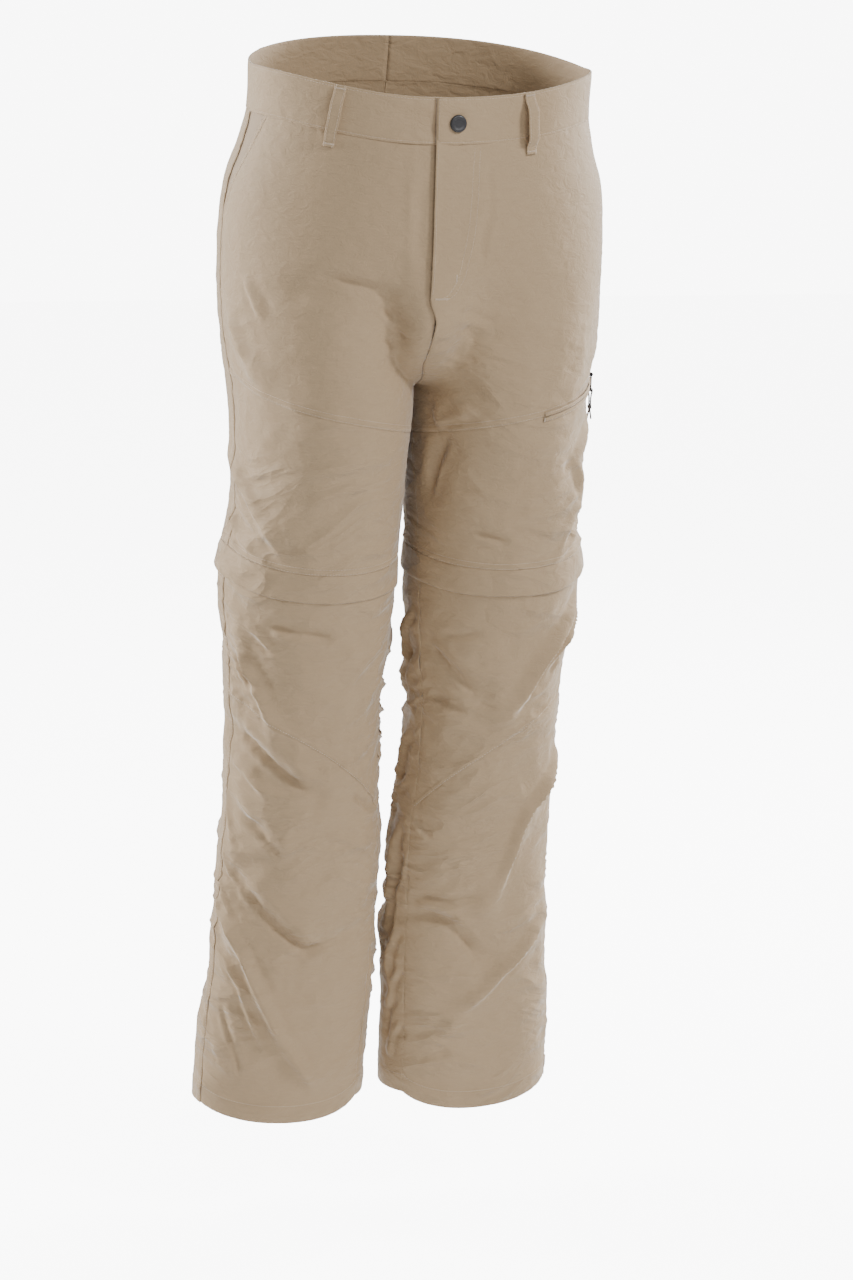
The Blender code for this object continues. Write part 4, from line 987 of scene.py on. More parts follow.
print("the welt is", round(float(np.linalg.norm(np.diff(points[0], axis=0), axis=-1).sum()), 3), "m long")

# %% [markdown]
# ## Press stud
# The cap of the stud is a turned piece of painted brass: a shallow dish with a rolled rim. Its profile
# is spun about its own axis and placed on the waistband's lap.

# %% Spin the cap of the press stud: radius and height of its profile in millimetres
SNAP_AROUND, SNAP_LEVEL = 0.020, -0.024
SNAP_PROFILE = (
    (0.0, 2.25), (3.2, 2.25), (4.6, 2.30), (5.2, 2.55), (5.8, 2.75), (6.5, 2.72), (7.2, 2.4),
    (7.75, 1.8), (8.0, 1.1), (7.9, 0.4), (7.5, 0.0), (0.0, 0.0),
)
SNAP_STEPS = 64
bm = bmesh.new()
verts = [bm.verts.new((radius * MM, 0, height * MM)) for radius, height in SNAP_PROFILE]
edges = [bm.edges.new(pair) for pair in zip(verts, verts[1:])]
bmesh.ops.spin(
    bm, geom=verts + edges, cent=(0, 0, 0), axis=(0, 0, 1), angle=2 * math.pi, steps=SNAP_STEPS
)
bmesh.ops.remove_doubles(bm, verts=bm.verts[:], dist=0.01 * MM)
bmesh.ops.recalc_face_normals(bm, faces=bm.faces[:])
outward = Vector(bare_normals(LEFT, SNAP_AROUND, SNAP_LEVEL))
lift = BAND_RAISE + lap_raise(SNAP_AROUND, SNAP_LEVEL, BAND_LAP_RAISE) + CLEAR
seat = Vector(bare_surface(LEFT, SNAP_AROUND, SNAP_LEVEL)) + outward * float(lift)
turn = Vector((0, 0, 1)).rotation_difference(outward).to_matrix().to_4x4()
bm.transform(Matrix.Translation(seat) @ turn)
snap_mesh = bpy.data.meshes.new("press_stud_cap")
bm.to_mesh(snap_mesh)
bm.free()
snap_mesh.shade_smooth()
snap_mesh.set_sharp_from_angle(angle=math.radians(60))
stand_for(in_scene("press_stud_cap", snap_mesh), "snap_button")
print("the cap is", 2 * max(radius for radius, _ in SNAP_PROFILE), "mm wide")

# %% [markdown]
# ## Zip pull and its cord
# The tab hangs on the slider's bar. A thin braided cord goes through its hole, both strands pass one
# knot, and two short ends hang free below it. Each strand is a curve along the middle of the cord.

# %% The pull's frame, the cord strands and the knot
SLIDER_AROUND, SLIDER_CLEAR, SLIDER_DEPTH, BAR_STANDOFF = 0.478, 0.6 * MM, 2.2 * MM, 2.1 * MM
CORD_DIAMETER = 1.5 * MM
# A strand's way in millimetres along, out from and above the slider's bar
STRAND = (
    (0, 0.0, -14.35), (0, 0.8, -14.45), (0, 1.4, -14.8), (0, 1.75, -15.5), (0, 1.85, -16.6),
    (0, 1.55, -18.4), (0, 1.15, -20.6), (0, 0.9, -23.5), (0, 0.8, -26.5), (0, 0.8, -29.0),
    (0.35, 0.6, -31.0), (0.7, 0.2, -33.2), (0.85, 0.2, -34.8), (1.1, 0.6, -37.5), (1.4, 1.1, -40.5),
    (1.9, 1.5, -44.0),
)
KNOT_DROP = 32 * MM
slider_level = yoke_level(SLIDER_AROUND)
outward = Vector(bare_normals(LEFT, SLIDER_AROUND, slider_level))
lift = fold_heights(LEFT, np.array(SLIDER_AROUND), np.array(slider_level)) + WELT_RAISE + SLIDER_CLEAR
slider_place = Vector(bare_surface(LEFT, SLIDER_AROUND, slider_level)) + outward * float(lift)
outward.z = 0
outward.normalize()
along = outward.cross(Vector((0, 0, 1)))
pull_frame = Matrix((along, outward, (0, 0, 1))).transposed().to_4x4()
pull_frame.translation = slider_place + outward * (SLIDER_DEPTH + BAR_STANDOFF)


def smooth_route(corners, steps):
    """A Catmull-Rom curve through the corners, with this many points between two of them."""
    corners = np.array(corners, float)
    padded = np.concatenate([[2 * corners[0] - corners[1]], corners, [2 * corners[-1] - corners[-2]]])
    points = []
    for a, b, c, d in zip(padded, padded[1:], padded[2:], padded[3:]):
        for u in np.arange(steps) / steps:
            points.append(0.5 * (2 * b + (c - a) * u + (2 * a - 5 * b + 4 * c - d) * u**2
                                 + (3 * b - a - 3 * c + d) * u**3))
    return np.array(points + [corners[-1]])


SIDES_ROUND, PLAITS, PLAIT_LENGTH, PLAIT_DEPTH = 18, 3, 3.2 * MM, 0.07


def braid(name, route, radius, closed=False):
    """A round cord along a route, with the plaits of its braid standing out in two directions."""
    past_start, past_end = 2 * route[:1] - route[1:2], 2 * route[-1:] - route[-2:-1]
    if closed:
        past_start, past_end = route[-1:], route[:1]
    tangent = np.concatenate([route[1:], past_end]) - np.concatenate([past_start, route[:-1]])
    tangent /= np.linalg.norm(tangent, axis=1, keepdims=True)
    across = np.cross(tangent, [0.31, 0.22, 0.93])
    across /= np.linalg.norm(across, axis=1, keepdims=True)
    other = np.cross(tangent, across)
    run = np.concatenate([[0], np.cumsum(np.linalg.norm(np.diff(route, axis=0), axis=1))])
    angle = np.linspace(0, 2 * math.pi, SIDES_ROUND, endpoint=False)
    turn = 2 * math.pi * run / PLAIT_LENGTH
    waves = np.cos(PLAITS * angle[None] + turn[:, None]) * np.cos(PLAITS * angle[None] - turn[:, None])
    size = radius * (1 + 2 * PLAIT_DEPTH * waves)
    ring = np.cos(angle)[None, :, None] * across[:, None] + np.sin(angle)[None, :, None] * other[:, None]
    points = route[:, None] + size[..., None] * ring
    if closed:
        points = np.concatenate([points, points[:1]])
        run = np.append(run, run[-1])
    place = np.stack(np.broadcast_arrays(angle[None] * radius, run[:, None]), -1)
    obj = make_mesh(name, [(points, place, False, True)])
    bm = bmesh.new()
    bm.from_mesh(obj.data)
    bmesh.ops.remove_doubles(bm, verts=bm.verts[:], dist=0.001 * MM)
    bmesh.ops.holes_fill(bm, edges=[edge for edge in bm.edges if edge.is_boundary])
    bmesh.ops.recalc_face_normals(bm, faces=bm.faces[:])
    bm.to_mesh(obj.data)
    bm.free()
    obj.data.shade_smooth()
    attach(obj, "zip_pull")
    return obj


def in_pull_frame(points):
    return np.array([pull_frame @ (Vector(point) * MM) for point in points])


routes = {}
for name, sign in (("front", 1), ("back", -1)):
    corners = [(x * sign, y * sign, z) for x, y, z in STRAND]
    routes[name] = in_pull_frame(smooth_route(corners, 9))
front_strand = braid("cord_strand_front", routes["front"], CORD_DIAMETER / 2)
back_strand = braid("cord_strand_back", routes["back"], CORD_DIAMETER / 2)
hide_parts("pull_cord_loop", "pull_cord_end_front")
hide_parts("pull_cord_end_back")

# The knot is one closed loop that crosses itself three times, in millimetres
KNOT_TURNS, KNOT_RADIUS, KNOT_SWING, KNOT_RISE = 150, 1.05, 0.35, 1.5
turns = np.linspace(0, 2 * math.pi, KNOT_TURNS, endpoint=False)
wide = KNOT_RADIUS + KNOT_SWING * np.cos(3 * turns)
loops = np.stack([wide * np.cos(2 * turns), wide * np.sin(2 * turns), KNOT_RISE * np.sin(3 * turns)], -1)
knot = braid("cord_knot", in_pull_frame(loops - [0, 0, KNOT_DROP / MM]), 0.55 * CORD_DIAMETER, closed=True)
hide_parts("pull_cord_knot")

# %% [markdown]
# ## Cuts
# Each cloth piece was cut flat before it was sewn. Its size is measured here along the finished grid,
# without the seam allowances, and printed.

# %% Print each cloth piece's flat size; the table names what each hangs from
HANGS_FROM = {
    "front_upper": "waistband", "back_upper": "waistband", "pocket_facing": "front_upper",
    "thigh_front": "front_upper", "knee_flap": "thigh_front", "knee_zip": "thigh_front",
    "knee_panel": "knee_zip", "shin": "knee_panel", "back_lower": "knee_zip",
}


def flat_size(points):
    """Longest way across, longest way down and the area of a grid of points, as if it lay flat."""
    across = np.linalg.norm(np.diff(points, axis=1), axis=-1).sum(1).max()
    down = np.linalg.norm(np.diff(points, axis=0), axis=-1).sum(0).max()
    one, two = points[1:, 1:] - points[:-1, :-1], points[1:, :-1] - points[:-1, 1:]
    area = np.linalg.norm(np.cross(one, two), axis=-1).sum() / 2
    return float(across), float(down), float(min(area, across * down))


def state_cut(name, points):
    across, down, area = flat_size(points)
    flat = (round(across, 3), round(down, 3))
    area = min(area, flat[0] * flat[1])
    print(f"{name}: {flat[0] * 1000:.0f} x {flat[1] * 1000:.0f} mm, {area * 1e4:.0f} cm2")


for name, grid in outer_grids.items():
    kind, side_name = name.rsplit("_", 1)
    if kind in HANGS_FROM:
        state_cut(name, grid["points"])
    elif kind == "waistband":
        state_cut(name, grid["points"])
    elif name.startswith("belt_loop"):
        state_cut(name, grid["points"])
welt_grid = np.concatenate([outer_grids["welt_upper"]["points"][::-1], outer_grids["welt_lower"]["points"]])
state_cut("thigh_zip", welt_grid)

# %% [markdown]
# ## Stitching
# Topstitching is what makes a seam read as sewn. Each row is drawn as a line on the finished grid of a
# panel, a set distance from one of its edges. A Geometry Nodes tree walks the line, sets down one
# short stitch at each step and turns it along the line and off the cloth. One tree serves every row.


# %% Lines on the cloth for the rows of stitches
def on_grid(grid, s, t):
    """Points and outward directions of a panel's grid at these shares across and down."""
    points = grid["points"]
    down, over = grid["t"], grid["s"]
    i = np.clip(np.searchsorted(down, t, side="right") - 1, 0, len(down) - 2)
    j = np.clip(np.searchsorted(over, s, side="right") - 1, 0, len(over) - 2)
    a = ((t - down[i]) / (down[i + 1] - down[i]))[:, None]
    b = ((s - over[j]) / (over[j + 1] - over[j]))[:, None]
    top = mix(points[i, j], points[i, j + 1], b)
    bottom = mix(points[i + 1, j], points[i + 1, j + 1], b)
    left = mix(points[i, j], points[i + 1, j], a)
    right = mix(points[i, j + 1], points[i + 1, j + 1], a)
    normal = np.cross(bottom - top, right - left) * grid["side"]
    return mix(top, bottom, a), normal / np.linalg.norm(normal, axis=-1, keepdims=True)


def edge_line(name, edge, distance, start=0.0, end=1.0, count=240):
    """A line at a distance from one edge of a panel, between two shares of that edge's length."""
    grid = outer_grids[name]
    run = np.linspace(start, end, count)
    points = grid["points"]
    if edge in ("top", "bottom"):
        sizes = np.linalg.norm(np.diff(points, axis=0), axis=-1).sum(0)
        size = np.interp(run, grid["s"], sizes)
        away = distance / size
        return on_grid(grid, run, away if edge == "top" else 1 - away)
    sizes = np.linalg.norm(np.diff(points, axis=1), axis=-1).sum(1)
    size = np.interp(run, grid["t"], sizes)
    away = distance / size
    return on_grid(grid, away if edge == "left" else 1 - away, run)


def across_line(name, t, start, end, count):
    """A line across a grid at one share down it."""
    return on_grid(outer_grids[name], np.linspace(start, end, count), np.full(count, t))


def down_line(name, s, start, end, count):
    """A line down a grid at one share across it."""
    return on_grid(outer_grids[name], np.full(count, s), np.linspace(start, end, count))


# Panel, its edge, how far the rows lie from it, and the shares of the edge where they start and end
PANEL_ROWS = (
    ("front_upper", "bottom", STITCH_ROWS, 0.0, 1.0),
    ("front_upper", "right", STITCH_ROWS, 0.004, 0.34),
    ("thigh_front", "bottom", STITCH_ROWS, 0.0, 1.0),
    ("back_upper", "bottom", STITCH_ROWS, 0.0, 1.0),
    ("back_upper", "right", STITCH_ROWS, 0.0, 0.62),
    ("back_upper", "left", (1.6 * MM,), 0.0, 1.0),
    ("back_lower", "left", (1.6 * MM,), 0.0, 1.0),
    ("knee_panel", "bottom", (1.5 * MM,), 0.0, 1.0),
    ("shin", "bottom", (20.0 * MM,), 0.0, 1.0),
    ("back_lower", "bottom", (20.0 * MM,), 0.0, 1.0),
)
BAND_END_ROW, LOOP_ROWS, WELT_ROW = 0.0038, (0.15, 0.85), 0.8
stitch_lines = []
for side_name in SIDES.values():
    for kind, edge, distances, start, end in PANEL_ROWS:
        for distance in distances:
            stitch_lines.append(edge_line(f"{kind}_{side_name}", edge, distance, start, end))
    for drop in BAND_ROWS:
        stitch_lines.append(across_line(f"waistband_{side_name}", drop / BAND_HEIGHT, 0.004, 0.996, 600))
stitch_lines.append(down_line("waistband_left", BAND_END_ROW, 0.06, 0.94, 60))
for name, _, _, _ in LOOPS:
    for share in LOOP_ROWS:
        stitch_lines.append(down_line(name, share, 0.01, 0.99, 80))
for name in ("welt_upper", "welt_lower"):
    stitch_lines.append(across_line(name, WELT_ROW, 0.01, 0.99, 120))
print(len(stitch_lines), "rows of stitches")

# %% The fly's curved rows, laid on the left front: place around and level in millimetres
FLY_ROW = (
    (0.047, -46), (0.041, -86), (0.035, -126), (0.029, -156), (0.024, -176), (0.012, -193), (0.0, -198),
)
FLY_ROW_GAP, SMOOTHING = 0.009, 15


def laid_line(name, side, path, shift=0.0, count=160):
    """A smooth line through (around, level) places, dropped on the nearest cloth of a panel."""
    corners = np.array(path, float)
    reached = np.linspace(0, 1, len(corners))
    run = np.linspace(0, 1, count)
    around = np.interp(run, reached, corners[:, 0]) + shift
    levels = np.interp(run, reached, corners[:, 1]) * MM
    kernel = np.ones(SMOOTHING) / SMOOTHING
    around = np.convolve(np.pad(around, SMOOTHING // 2, mode="edge"), kernel, "valid")
    levels = np.convolve(np.pad(levels, SMOOTHING // 2, mode="edge"), kernel, "valid")
    rough = bare_surface(side, around, levels)
    mesh = pieces[f"cloth_{name}"].data
    tree = BVHTree.FromPolygons([v.co for v in mesh.vertices], [p.vertices[:] for p in mesh.polygons])
    found = [tree.find_nearest(Vector(point)) for point in rough]
    return np.array([place for place, _, _, _ in found]), np.array([normal for _, normal, _, _ in found])


for shift in (0.0, FLY_ROW_GAP):
    stitch_lines.append(laid_line("front_upper_left", LEFT, FLY_ROW, shift))
stitch_lines.append(laid_line("front_upper_left", LEFT, ((-0.0055, -48), (-0.0055, -120), (-0.0055, -192))))

# %% Bartacks at the fly, the pocket mouths, the belt loops and the welt's ends
BARTACKS = (
    ("front_upper_left", LEFT, ((0.021, -172), (0.021, -180))),
    ("front_upper_left", LEFT, ((-0.004, -196.5), (0.014, -196.5))),
    ("front_upper_left", LEFT, ((0.428, -46), (0.438, -46))),
    ("front_upper_right", RIGHT, ((0.428, -46), (0.438, -46))),
    ("front_upper_left", LEFT, ((0.472, -108), (0.487, -110))),
    ("front_upper_right", RIGHT, ((0.472, -108), (0.487, -110))),
)
bartack_lines = [laid_line(name, side, path, count=24) for name, side, path in BARTACKS]
for name, _, _, _ in LOOPS:
    for share in (0.035, 0.955):
        bartack_lines.append(across_line(name, share, 0.06, 0.94, 24))
for share in (0.012, 0.988):
    bartack_lines.append(down_line("welt_lower", share, 0.05, 0.9, 24))
print(len(bartack_lines), "bartacks")

# %% The Geometry Nodes tree that sews a row
STITCH_PITCH, STITCH_LENGTH, STITCH_WIDTH = 2.9 * MM, 2.2 * MM, 0.5 * MM


def socket(tree, name, in_out, kind):
    return tree.interface.new_socket(name=name, in_out=in_out, socket_type=kind)


def link(tree, node, output, other, entry):
    tree.links.new(node.outputs[output], other.inputs[entry])


def add(tree, kind, values=None, **settings):
    """A new node with these settings, and with these values on its inputs."""
    node = tree.nodes.new(kind)
    for name, value in settings.items():
        setattr(node, name, value)
    for entry, value in (values or {}).items():
        node.inputs[entry].default_value = value
    return node


def sewing_tree():
    tree = bpy.data.node_groups.new("sew along a line", "GeometryNodeTree")
    socket(tree, "Line", "INPUT", "NodeSocketGeometry")
    for name in ("Pitch", "Length", "Width", "Height"):
        socket(tree, name, "INPUT", "NodeSocketFloat")
    socket(tree, "Thread", "INPUT", "NodeSocketMaterial")
    socket(tree, "Stitches", "OUTPUT", "NodeSocketGeometry")
    given, result = add(tree, "NodeGroupInput"), add(tree, "NodeGroupOutput")
    to_curve = add(tree, "GeometryNodeMeshToCurve")
    resample = add(tree, "GeometryNodeResampleCurve", mode="LENGTH")
    link(tree, given, "Line", to_curve, "Mesh")
    link(tree, to_curve, "Curve", resample, "Curve")
    link(tree, given, "Pitch", resample, "Length")
    tangent = add(tree, "GeometryNodeInputTangent")
    off = add(tree, "GeometryNodeInputNamedAttribute", {"Name": "off_cloth"}, data_type="FLOAT_VECTOR")
    turn = add(tree, "FunctionNodeAxesToRotation", primary_axis="X", secondary_axis="Z")
    link(tree, tangent, "Tangent", turn, "Primary Axis")
    link(tree, off, "Attribute", turn, "Secondary Axis")
    thread = add(tree, "GeometryNodeMeshUVSphere", {"Segments": 6, "Rings": 4, "Radius": 0.5})
    size = add(tree, "ShaderNodeCombineXYZ")
    for measure, axis in (("Length", "X"), ("Width", "Y"), ("Height", "Z")):
        link(tree, given, measure, size, axis)
    place = add(tree, "GeometryNodeInstanceOnPoints")
    link(tree, resample, "Curve", place, "Points")
    link(tree, thread, "Mesh", place, "Instance")
    link(tree, turn, "Rotation", place, "Rotation")
    link(tree, size, "Vector", place, "Scale")
    real = add(tree, "GeometryNodeRealizeInstances")
    smooth, paint = add(tree, "GeometryNodeSetShadeSmooth"), add(tree, "GeometryNodeSetMaterial")
    link(tree, place, "Instances", real, "Geometry")
    link(tree, real, "Geometry", smooth, "Geometry")
    link(tree, smooth, "Geometry", paint, "Geometry")
    link(tree, given, "Thread", paint, "Material")
    link(tree, paint, "Geometry", result, "Stitches")
    return tree


def run_tree(name, lines, tree, values):
    """Runs a tree on a mesh of polylines and keeps what it makes as a plain mesh."""
    verts, edges, off = [], [], []
    for points, normals in lines:
        first = len(verts)
        verts += points.tolist()
        off += normals.tolist()
        edges += [(first + i, first + i + 1) for i in range(len(points) - 1)]
    mesh = bpy.data.meshes.new(name + "_lines")
    mesh.from_pydata(verts, edges, [])
    attribute = mesh.attributes.new("off_cloth", "FLOAT_VECTOR", "POINT")
    attribute.data.foreach_set("vector", np.array(off, np.float32).ravel())
    holder = in_scene(name + "_lines", mesh)
    made = holder.modifiers.new("nodes", "NODES")
    made.node_group = tree
    for item in tree.interface.items_tree:
        if item.in_out == "INPUT" and item.name in values:
            made[item.identifier] = values[item.name]
    bpy.context.view_layer.update()
    graph = bpy.context.evaluated_depsgraph_get()
    plain = bpy.data.meshes.new_from_object(holder.evaluated_get(graph))
    bpy.data.objects.remove(holder)
    return in_scene(name, plain)


def lifted(line, height):
    """A line moved off the cloth, with its outward directions."""
    points, normals = line
    return points + normals * height, normals


# %% [markdown]
# ## Materials
# The cloth is a tight plain weave of fine nylon with a soft crinkle from washing. Both effects are
# shader node groups, because more than one material uses them. The weave follows the cloth's own map,
# which is in metres, so its threads keep their size on every panel.

# %% Shader node groups for weave and crinkle
def shader_group(name, entries, results):
    tree = bpy.data.node_groups.new(name, "ShaderNodeTree")
    for entry, kind, value in entries:
        made = socket(tree, entry, "INPUT", kind)
        if value is not None:
            made.default_value = value
    for result, kind in results:
        socket(tree, result, "OUTPUT", kind)
    return tree, tree.nodes.new("NodeGroupInput"), tree.nodes.new("NodeGroupOutput")


def weave_group():
    """Threads as two crossed waves, their scale in radians per metre, and a tone that runs along them."""
    tree, given, result = shader_group(
        "plain weave",
        (("Map", "NodeSocketVector", None), ("Thread Scale", "NodeSocketFloat", 5200.0)),
        (("Height", "NodeSocketFloat"), ("Tone", "NodeSocketFloat")),
    )
    scaled = add(tree, "ShaderNodeVectorMath", operation="SCALE")
    link(tree, given, "Map", scaled, "Vector")
    link(tree, given, "Thread Scale", scaled, "Scale")
    split, product = add(tree, "ShaderNodeSeparateXYZ"), add(tree, "ShaderNodeMath", operation="MULTIPLY")
    link(tree, scaled, "Vector", split, "Vector")
    for factor, axis in enumerate(("X", "Y")):
        wave = add(tree, "ShaderNodeMath", operation="SINE")
        link(tree, split, axis, wave, 0)
        link(tree, wave, "Value", product, factor)
    link(tree, product, "Value", result, "Height")
    slub = add(tree, "ShaderNodeTexNoise", {"Scale": 0.11, "Detail": 3.0})
    stretch = add(tree, "ShaderNodeVectorMath", {1: (0.15, 1.0, 1.0)}, operation="MULTIPLY")
    link(tree, scaled, "Vector", stretch, "Vector")
    link(tree, stretch, "Vector", slub, "Vector")
    link(tree, slub, "Fac", result, "Tone")
    return tree


BEND_REACH = 0.12
RIDGES = {"Scale": 28.0, "Detail": 2.0, "Roughness": 0.45, "Offset": 1.0, "Gain": 1.5}
SLACK_FADE = {"From Min": YOKE_INSEAM, "From Max": -0.20, "To Min": 1.0, "To Max": 0.05}


def crinkle_group():
    """Fine crinkle, large patches, and bent ridges lying across the leg where the cloth is slack."""
    tree, given, result = shader_group(
        "washed crinkle",
        (("Size", "NodeSocketFloat", 0.012),),
        (("Height", "NodeSocketFloat"), ("Patches", "NodeSocketFloat"), ("Creases", "NodeSocketFloat")),
    )
    where = add(tree, "ShaderNodeTexCoord")
    flatten = add(tree, "ShaderNodeMapping", {"Scale": (1.0, 1.0, 1.6)})
    link(tree, where, "Object", flatten, "Vector")
    inverse = add(tree, "ShaderNodeMath", {0: 1.0}, operation="DIVIDE")
    link(tree, given, "Size", inverse, 1)
    fine = add(tree, "ShaderNodeTexNoise", {"Detail": 4.0, "Roughness": 0.55, "Distortion": 0.6})
    link(tree, flatten, "Vector", fine, "Vector")
    link(tree, inverse, "Value", fine, "Scale")
    link(tree, fine, "Fac", result, "Height")
    large = add(tree, "ShaderNodeTexNoise", {"Scale": 7.0, "Detail": 2.0})
    link(tree, where, "Object", large, "Vector")
    link(tree, large, "Fac", result, "Patches")
    bend = add(tree, "ShaderNodeTexNoise", {"Scale": 6.0, "Detail": 1.0})
    centred = add(tree, "ShaderNodeVectorMath", {1: (0.5, 0.5, 0.5)}, operation="SUBTRACT")
    bent = add(tree, "ShaderNodeVectorMath", {1: (BEND_REACH,) * 3}, operation="MULTIPLY_ADD")
    link(tree, where, "Object", bend, "Vector")
    link(tree, bend, "Color", centred, 0)
    link(tree, centred, "Vector", bent, 0)
    link(tree, where, "Object", bent, 2)
    across = add(tree, "ShaderNodeMapping", {"Scale": (0.40, 0.40, 1.2)})
    link(tree, bent, "Vector", across, "Vector")
    ridged = add(tree, "ShaderNodeTexNoise", RIDGES, noise_type="RIDGED_MULTIFRACTAL")
    link(tree, across, "Vector", ridged, "Vector")
    slack_here = add(tree, "ShaderNodeMapRange", {"From Min": 0.40, "From Max": 0.64})
    link(tree, large, "Fac", slack_here, "Value")
    height, slack_down = add(tree, "ShaderNodeSeparateXYZ"), add(tree, "ShaderNodeMapRange", SLACK_FADE)
    link(tree, where, "Object", height, "Vector")
    link(tree, height, "Z", slack_down, "Value")
    amount, creased = (add(tree, "ShaderNodeMath", operation="MULTIPLY") for _ in range(2))
    link(tree, slack_here, "Result", amount, 0)
    link(tree, slack_down, "Result", amount, 1)
    link(tree, ridged, "Fac", creased, 0)
    link(tree, amount, "Value", creased, 1)
    link(tree, creased, "Value", result, "Creases")
    return tree


weave, crinkle = weave_group(), crinkle_group()


# %% Materials for cloth, thread, tape, cord, metal and rubber
def new_material(name, finish):
    """A material with its tree and its shader, which gets these finish values."""
    made = bpy.data.materials.new(name)
    made.use_nodes = True
    shader = made.node_tree.nodes["Principled BSDF"]
    for entry, value in finish.items():
        shader.inputs[entry].default_value = value
    return made, made.node_tree, shader


def blend_colours(tree, source, output, low, high, shader):
    """Feeds Base Color with a mix of two colours, by a value that changes over the surface."""
    colours = add(tree, "ShaderNodeMix", data_type="RGBA")
    colours.inputs[6].default_value = (*low, 1)
    colours.inputs[7].default_value = (*high, 1)
    link(tree, source, output, colours, 0)
    tree.links.new(colours.outputs[2], shader.inputs["Base Color"])


def spread_roughness(tree, source, output, low, high, shader):
    rough = add(tree, "ShaderNodeMapRange", {"To Min": low, "To Max": high})
    link(tree, source, output, rough, "Value")
    link(tree, rough, "Result", shader, "Roughness")


THREAD_SCALE, CRINKLE_SIZE = 5200.0, 0.014
CREASE_BUMP, CRINKLE_BUMP, THREAD_BUMP = 8.0 * MM, 2.3 * MM, 0.06 * MM


def cloth_material(name, light, dark, crinkle_depth=0.6):
    """Woven nylon: thread and crinkle groups give its tone, and three bumps in a chain its relief."""
    finish = {"Sheen Weight": 0.40, "Sheen Roughness": 0.35, "Specular IOR Level": 0.35}
    made, tree, shader = new_material(name, finish)
    cloth_uv = add(tree, "ShaderNodeUVMap", uv_map="cloth")
    threads = add(tree, "ShaderNodeGroup", {"Thread Scale": THREAD_SCALE}, node_tree=weave)
    folds = add(tree, "ShaderNodeGroup", {"Size": CRINKLE_SIZE}, node_tree=crinkle)
    link(tree, cloth_uv, "UV", threads, "Map")
    tone = add(tree, "ShaderNodeMath", {1: 0.6}, operation="MULTIPLY_ADD")
    patches = add(tree, "ShaderNodeMath", {1: 0.5}, operation="MULTIPLY")
    ramp = add(tree, "ShaderNodeMapRange", {"From Min": 0.30, "From Max": 0.80})
    link(tree, threads, "Tone", tone, 0)
    link(tree, folds, "Patches", patches, 0)
    link(tree, patches, "Value", tone, 2)
    link(tree, tone, "Value", ramp, "Value")
    blend_colours(tree, ramp, "Result", dark, light, shader)
    spread_roughness(tree, threads, "Tone", 0.62, 0.80, shader)
    below = None
    for group, output, strength, distance in (
        (folds, "Creases", crinkle_depth, CREASE_BUMP),
        (folds, "Height", crinkle_depth, CRINKLE_BUMP),
        (threads, "Height", 0.25, THREAD_BUMP),
    ):
        bump = add(tree, "ShaderNodeBump", {"Strength": strength, "Distance": distance})
        link(tree, group, output, bump, "Height")
        if below:
            link(tree, below, "Normal", bump, "Normal")
        below = bump
    link(tree, below, "Normal", shader, "Normal")
    return made


def plain_material(name, colour, roughness, grain, depth, metallic=0.0, coat=0.0):
    """A hard or thread material: one colour broken up by a fine grain, which also gives its bump."""
    made, tree, shader = new_material(name, {"Metallic": metallic, "Coat Weight": coat})
    folds = add(tree, "ShaderNodeGroup", {"Size": grain}, node_tree=crinkle)
    bump = add(tree, "ShaderNodeBump", {"Strength": 0.6, "Distance": depth})
    darker, lighter = [c * 0.78 for c in colour], [min(1.0, c * 1.22) for c in colour]
    blend_colours(tree, folds, "Height", darker, lighter, shader)
    spread_roughness(tree, folds, "Height", roughness - 0.08, roughness + 0.08, shader)
    link(tree, folds, "Height", bump, "Height")
    link(tree, bump, "Normal", shader, "Normal")
    return made


KHAKI_LIGHT, KHAKI_DARK = (0.395, 0.284, 0.172), (0.357, 0.254, 0.151)
# The facing behind the pocket mouth and the zip tape under the knee flap get darker cloth colours: painted
# shade of these recesses, and in part the tape's own darker colour.
PAINTED_SHADE_LIGHT, PAINTED_SHADE_DARK = (0.345, 0.250, 0.157), (0.310, 0.222, 0.137)
cloth = cloth_material("khaki nylon cloth", KHAKI_LIGHT, KHAKI_DARK)
painted_shade_cloth = cloth_material("khaki facing and tape", PAINTED_SHADE_LIGHT, PAINTED_SHADE_DARK, 0.3)
thread = plain_material("khaki thread", (0.58, 0.47, 0.36), 0.6, 0.0006, 0.05 * MM)
cord_braid = plain_material("dark grey braid", (0.055, 0.053, 0.053), 0.75, 0.0007, 0.15 * MM)
stud_paint = plain_material("satin grey paint", (0.036, 0.035, 0.038), 0.48, 0.0015, 0.02 * MM, 0.2, 0.1)
slider_paint = plain_material("black slider paint", (0.022, 0.022, 0.024), 0.42, 0.001, 0.02 * MM, 0.4, 0.2)
pull_rubber = plain_material("black pull rubber", (0.020, 0.020, 0.022), 0.5, 0.0012, 0.03 * MM)
for name, piece in pieces.items():
    # Facings and zip tapes take the darker cloth, which is painted shade of their recesses.
    dark = "facing" in name or name.startswith("tape")
    paint = cord_braid if name.startswith("cord") else painted_shade_cloth if dark else cloth
    piece.data.materials.append(paint)
snap_mesh.materials.append(stud_paint)
for name, paint in (("zip_slider", slider_paint), ("zip_pull", pull_rubber)):
    for material_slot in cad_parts[name].material_slots:
        material_slot.material = paint

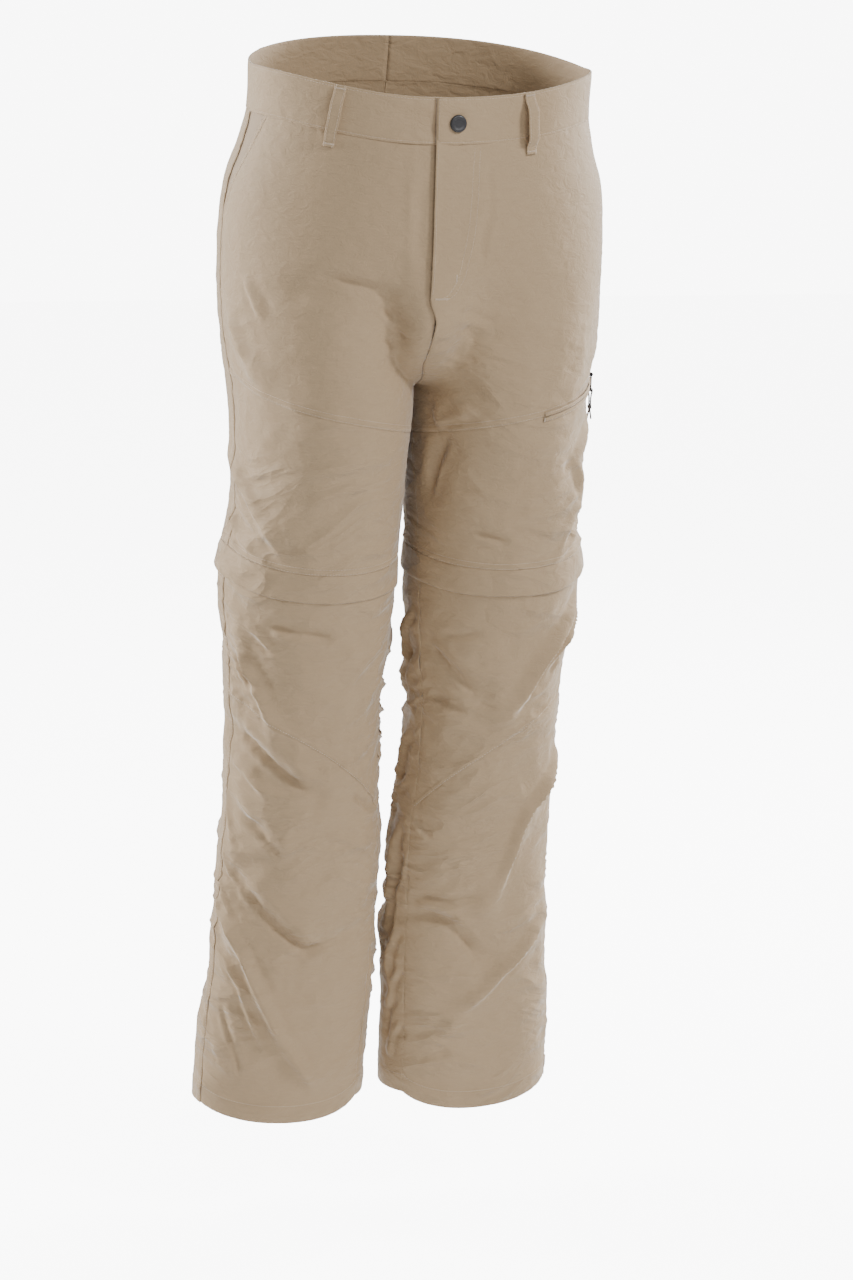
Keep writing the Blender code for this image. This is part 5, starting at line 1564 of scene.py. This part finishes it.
# %% Sew the rows and the bartacks
BARTACK_PITCH, BARTACK_WIDTH, BARTACK_HEIGHT = 0.5 * MM, 1.9 * MM, 0.5 * MM
sew = sewing_tree()
values = {"Pitch": STITCH_PITCH, "Length": STITCH_LENGTH, "Width": STITCH_WIDTH, "Height": STITCH_WIDTH,
          "Thread": thread}
stitches = run_tree("topstitching", [lifted(line, 0.06 * MM) for line in stitch_lines], sew, values)
values = {"Pitch": BARTACK_PITCH, "Length": BARTACK_PITCH, "Width": BARTACK_WIDTH, "Height": BARTACK_HEIGHT,
          "Thread": thread}
bartacks = run_tree("bartacks", [lifted(line, 0.05 * MM) for line in bartack_lines], sew, values)
for made in (stitches, bartacks):
    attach(made, "trousers")
    print(made.name, "has", len(made.data.polygons), "faces")

# %% [markdown]
# ## Floor and light
# The picture is a shop photograph on pure white: a key from high at the front, a fill beside it, and
# lights a little behind both sides that graze the cloth and bring out its creases. The white that the
# camera sees is far brighter than the light it gives, so the cloth isn't washed out by it.

# %% Pale floor, soft lights and white surroundings
FLOOR_LEVEL, FLOOR_REACH, SEEN_FLOOR = -1.17, 6, 7.8
floor_mesh = bpy.data.meshes.new("floor")
corners = [(x * FLOOR_REACH, y * FLOOR_REACH, FLOOR_LEVEL) for x, y in ((-1, -1), (1, -1), (1, 1), (-1, 1))]
floor_mesh.from_pydata(corners, [], [(0, 1, 2, 3)])
floor = in_scene("floor", floor_mesh)
finish = {"Base Color": (0.8, 0.8, 0.8, 1), "Roughness": 0.9, "Emission Color": (1, 1, 1, 1)}
white, boards, shader = new_material("white floor", finish)
seen = add(boards, "ShaderNodeLightPath")
glow = add(boards, "ShaderNodeMath", {1: SEEN_FLOOR}, operation="MULTIPLY")
link(boards, seen, "Is Camera Ray", glow, 0)
link(boards, glow, "Value", shader, "Emission Strength")
floor_mesh.materials.append(white)

world = bpy.data.worlds.new("white surroundings")
bpy.context.scene.world = world
world.use_nodes = True
SEEN_WHITE, FILL_LIGHT = 8.5, 0.24
air = world.node_tree
seen = add(air, "ShaderNodeLightPath")
level = add(air, "ShaderNodeMapRange", {"To Min": FILL_LIGHT, "To Max": SEEN_WHITE})
link(air, seen, "Is Camera Ray", level, "Value")
link(air, level, "Result", air.nodes["Background"], "Strength")
air.nodes["Background"].inputs["Color"].default_value = (1, 1, 1, 1)


def soft_light(name, place, aim, size, power):
    """A square light at a place, turned to its aim."""
    light = in_scene(name, bpy.data.lights.new(name, "AREA"))
    light.data.size = size
    light.data.energy = power
    turn = (Vector(aim) - Vector(place)).to_track_quat("-Z", "Y").to_matrix().to_4x4()
    light.matrix_world = Matrix.Translation(place) @ turn


soft_light("key", (2.0, -2.2, 2.2), (0, 0, 0), 0.6, 102)
soft_light("low fill", (0.1, -2.9, 1.3), (0, 0, 0), 1.2, 34)
soft_light("left side", (-2.15, 0.85, 0.4), (-0.15, 0, -0.5), 0.5, 90)
soft_light("right side", (2.2, 0.7, 0.4), (0.15, 0, -0.5), 0.5, 90)
soft_light("left rim", (-1.5, 2.1, 0.5), (0.05, 0, -0.6), 0.6, 26)
soft_light("right rim", (1.5, 2.1, 0.1), (-0.05, 0, -0.6), 0.6, 16)
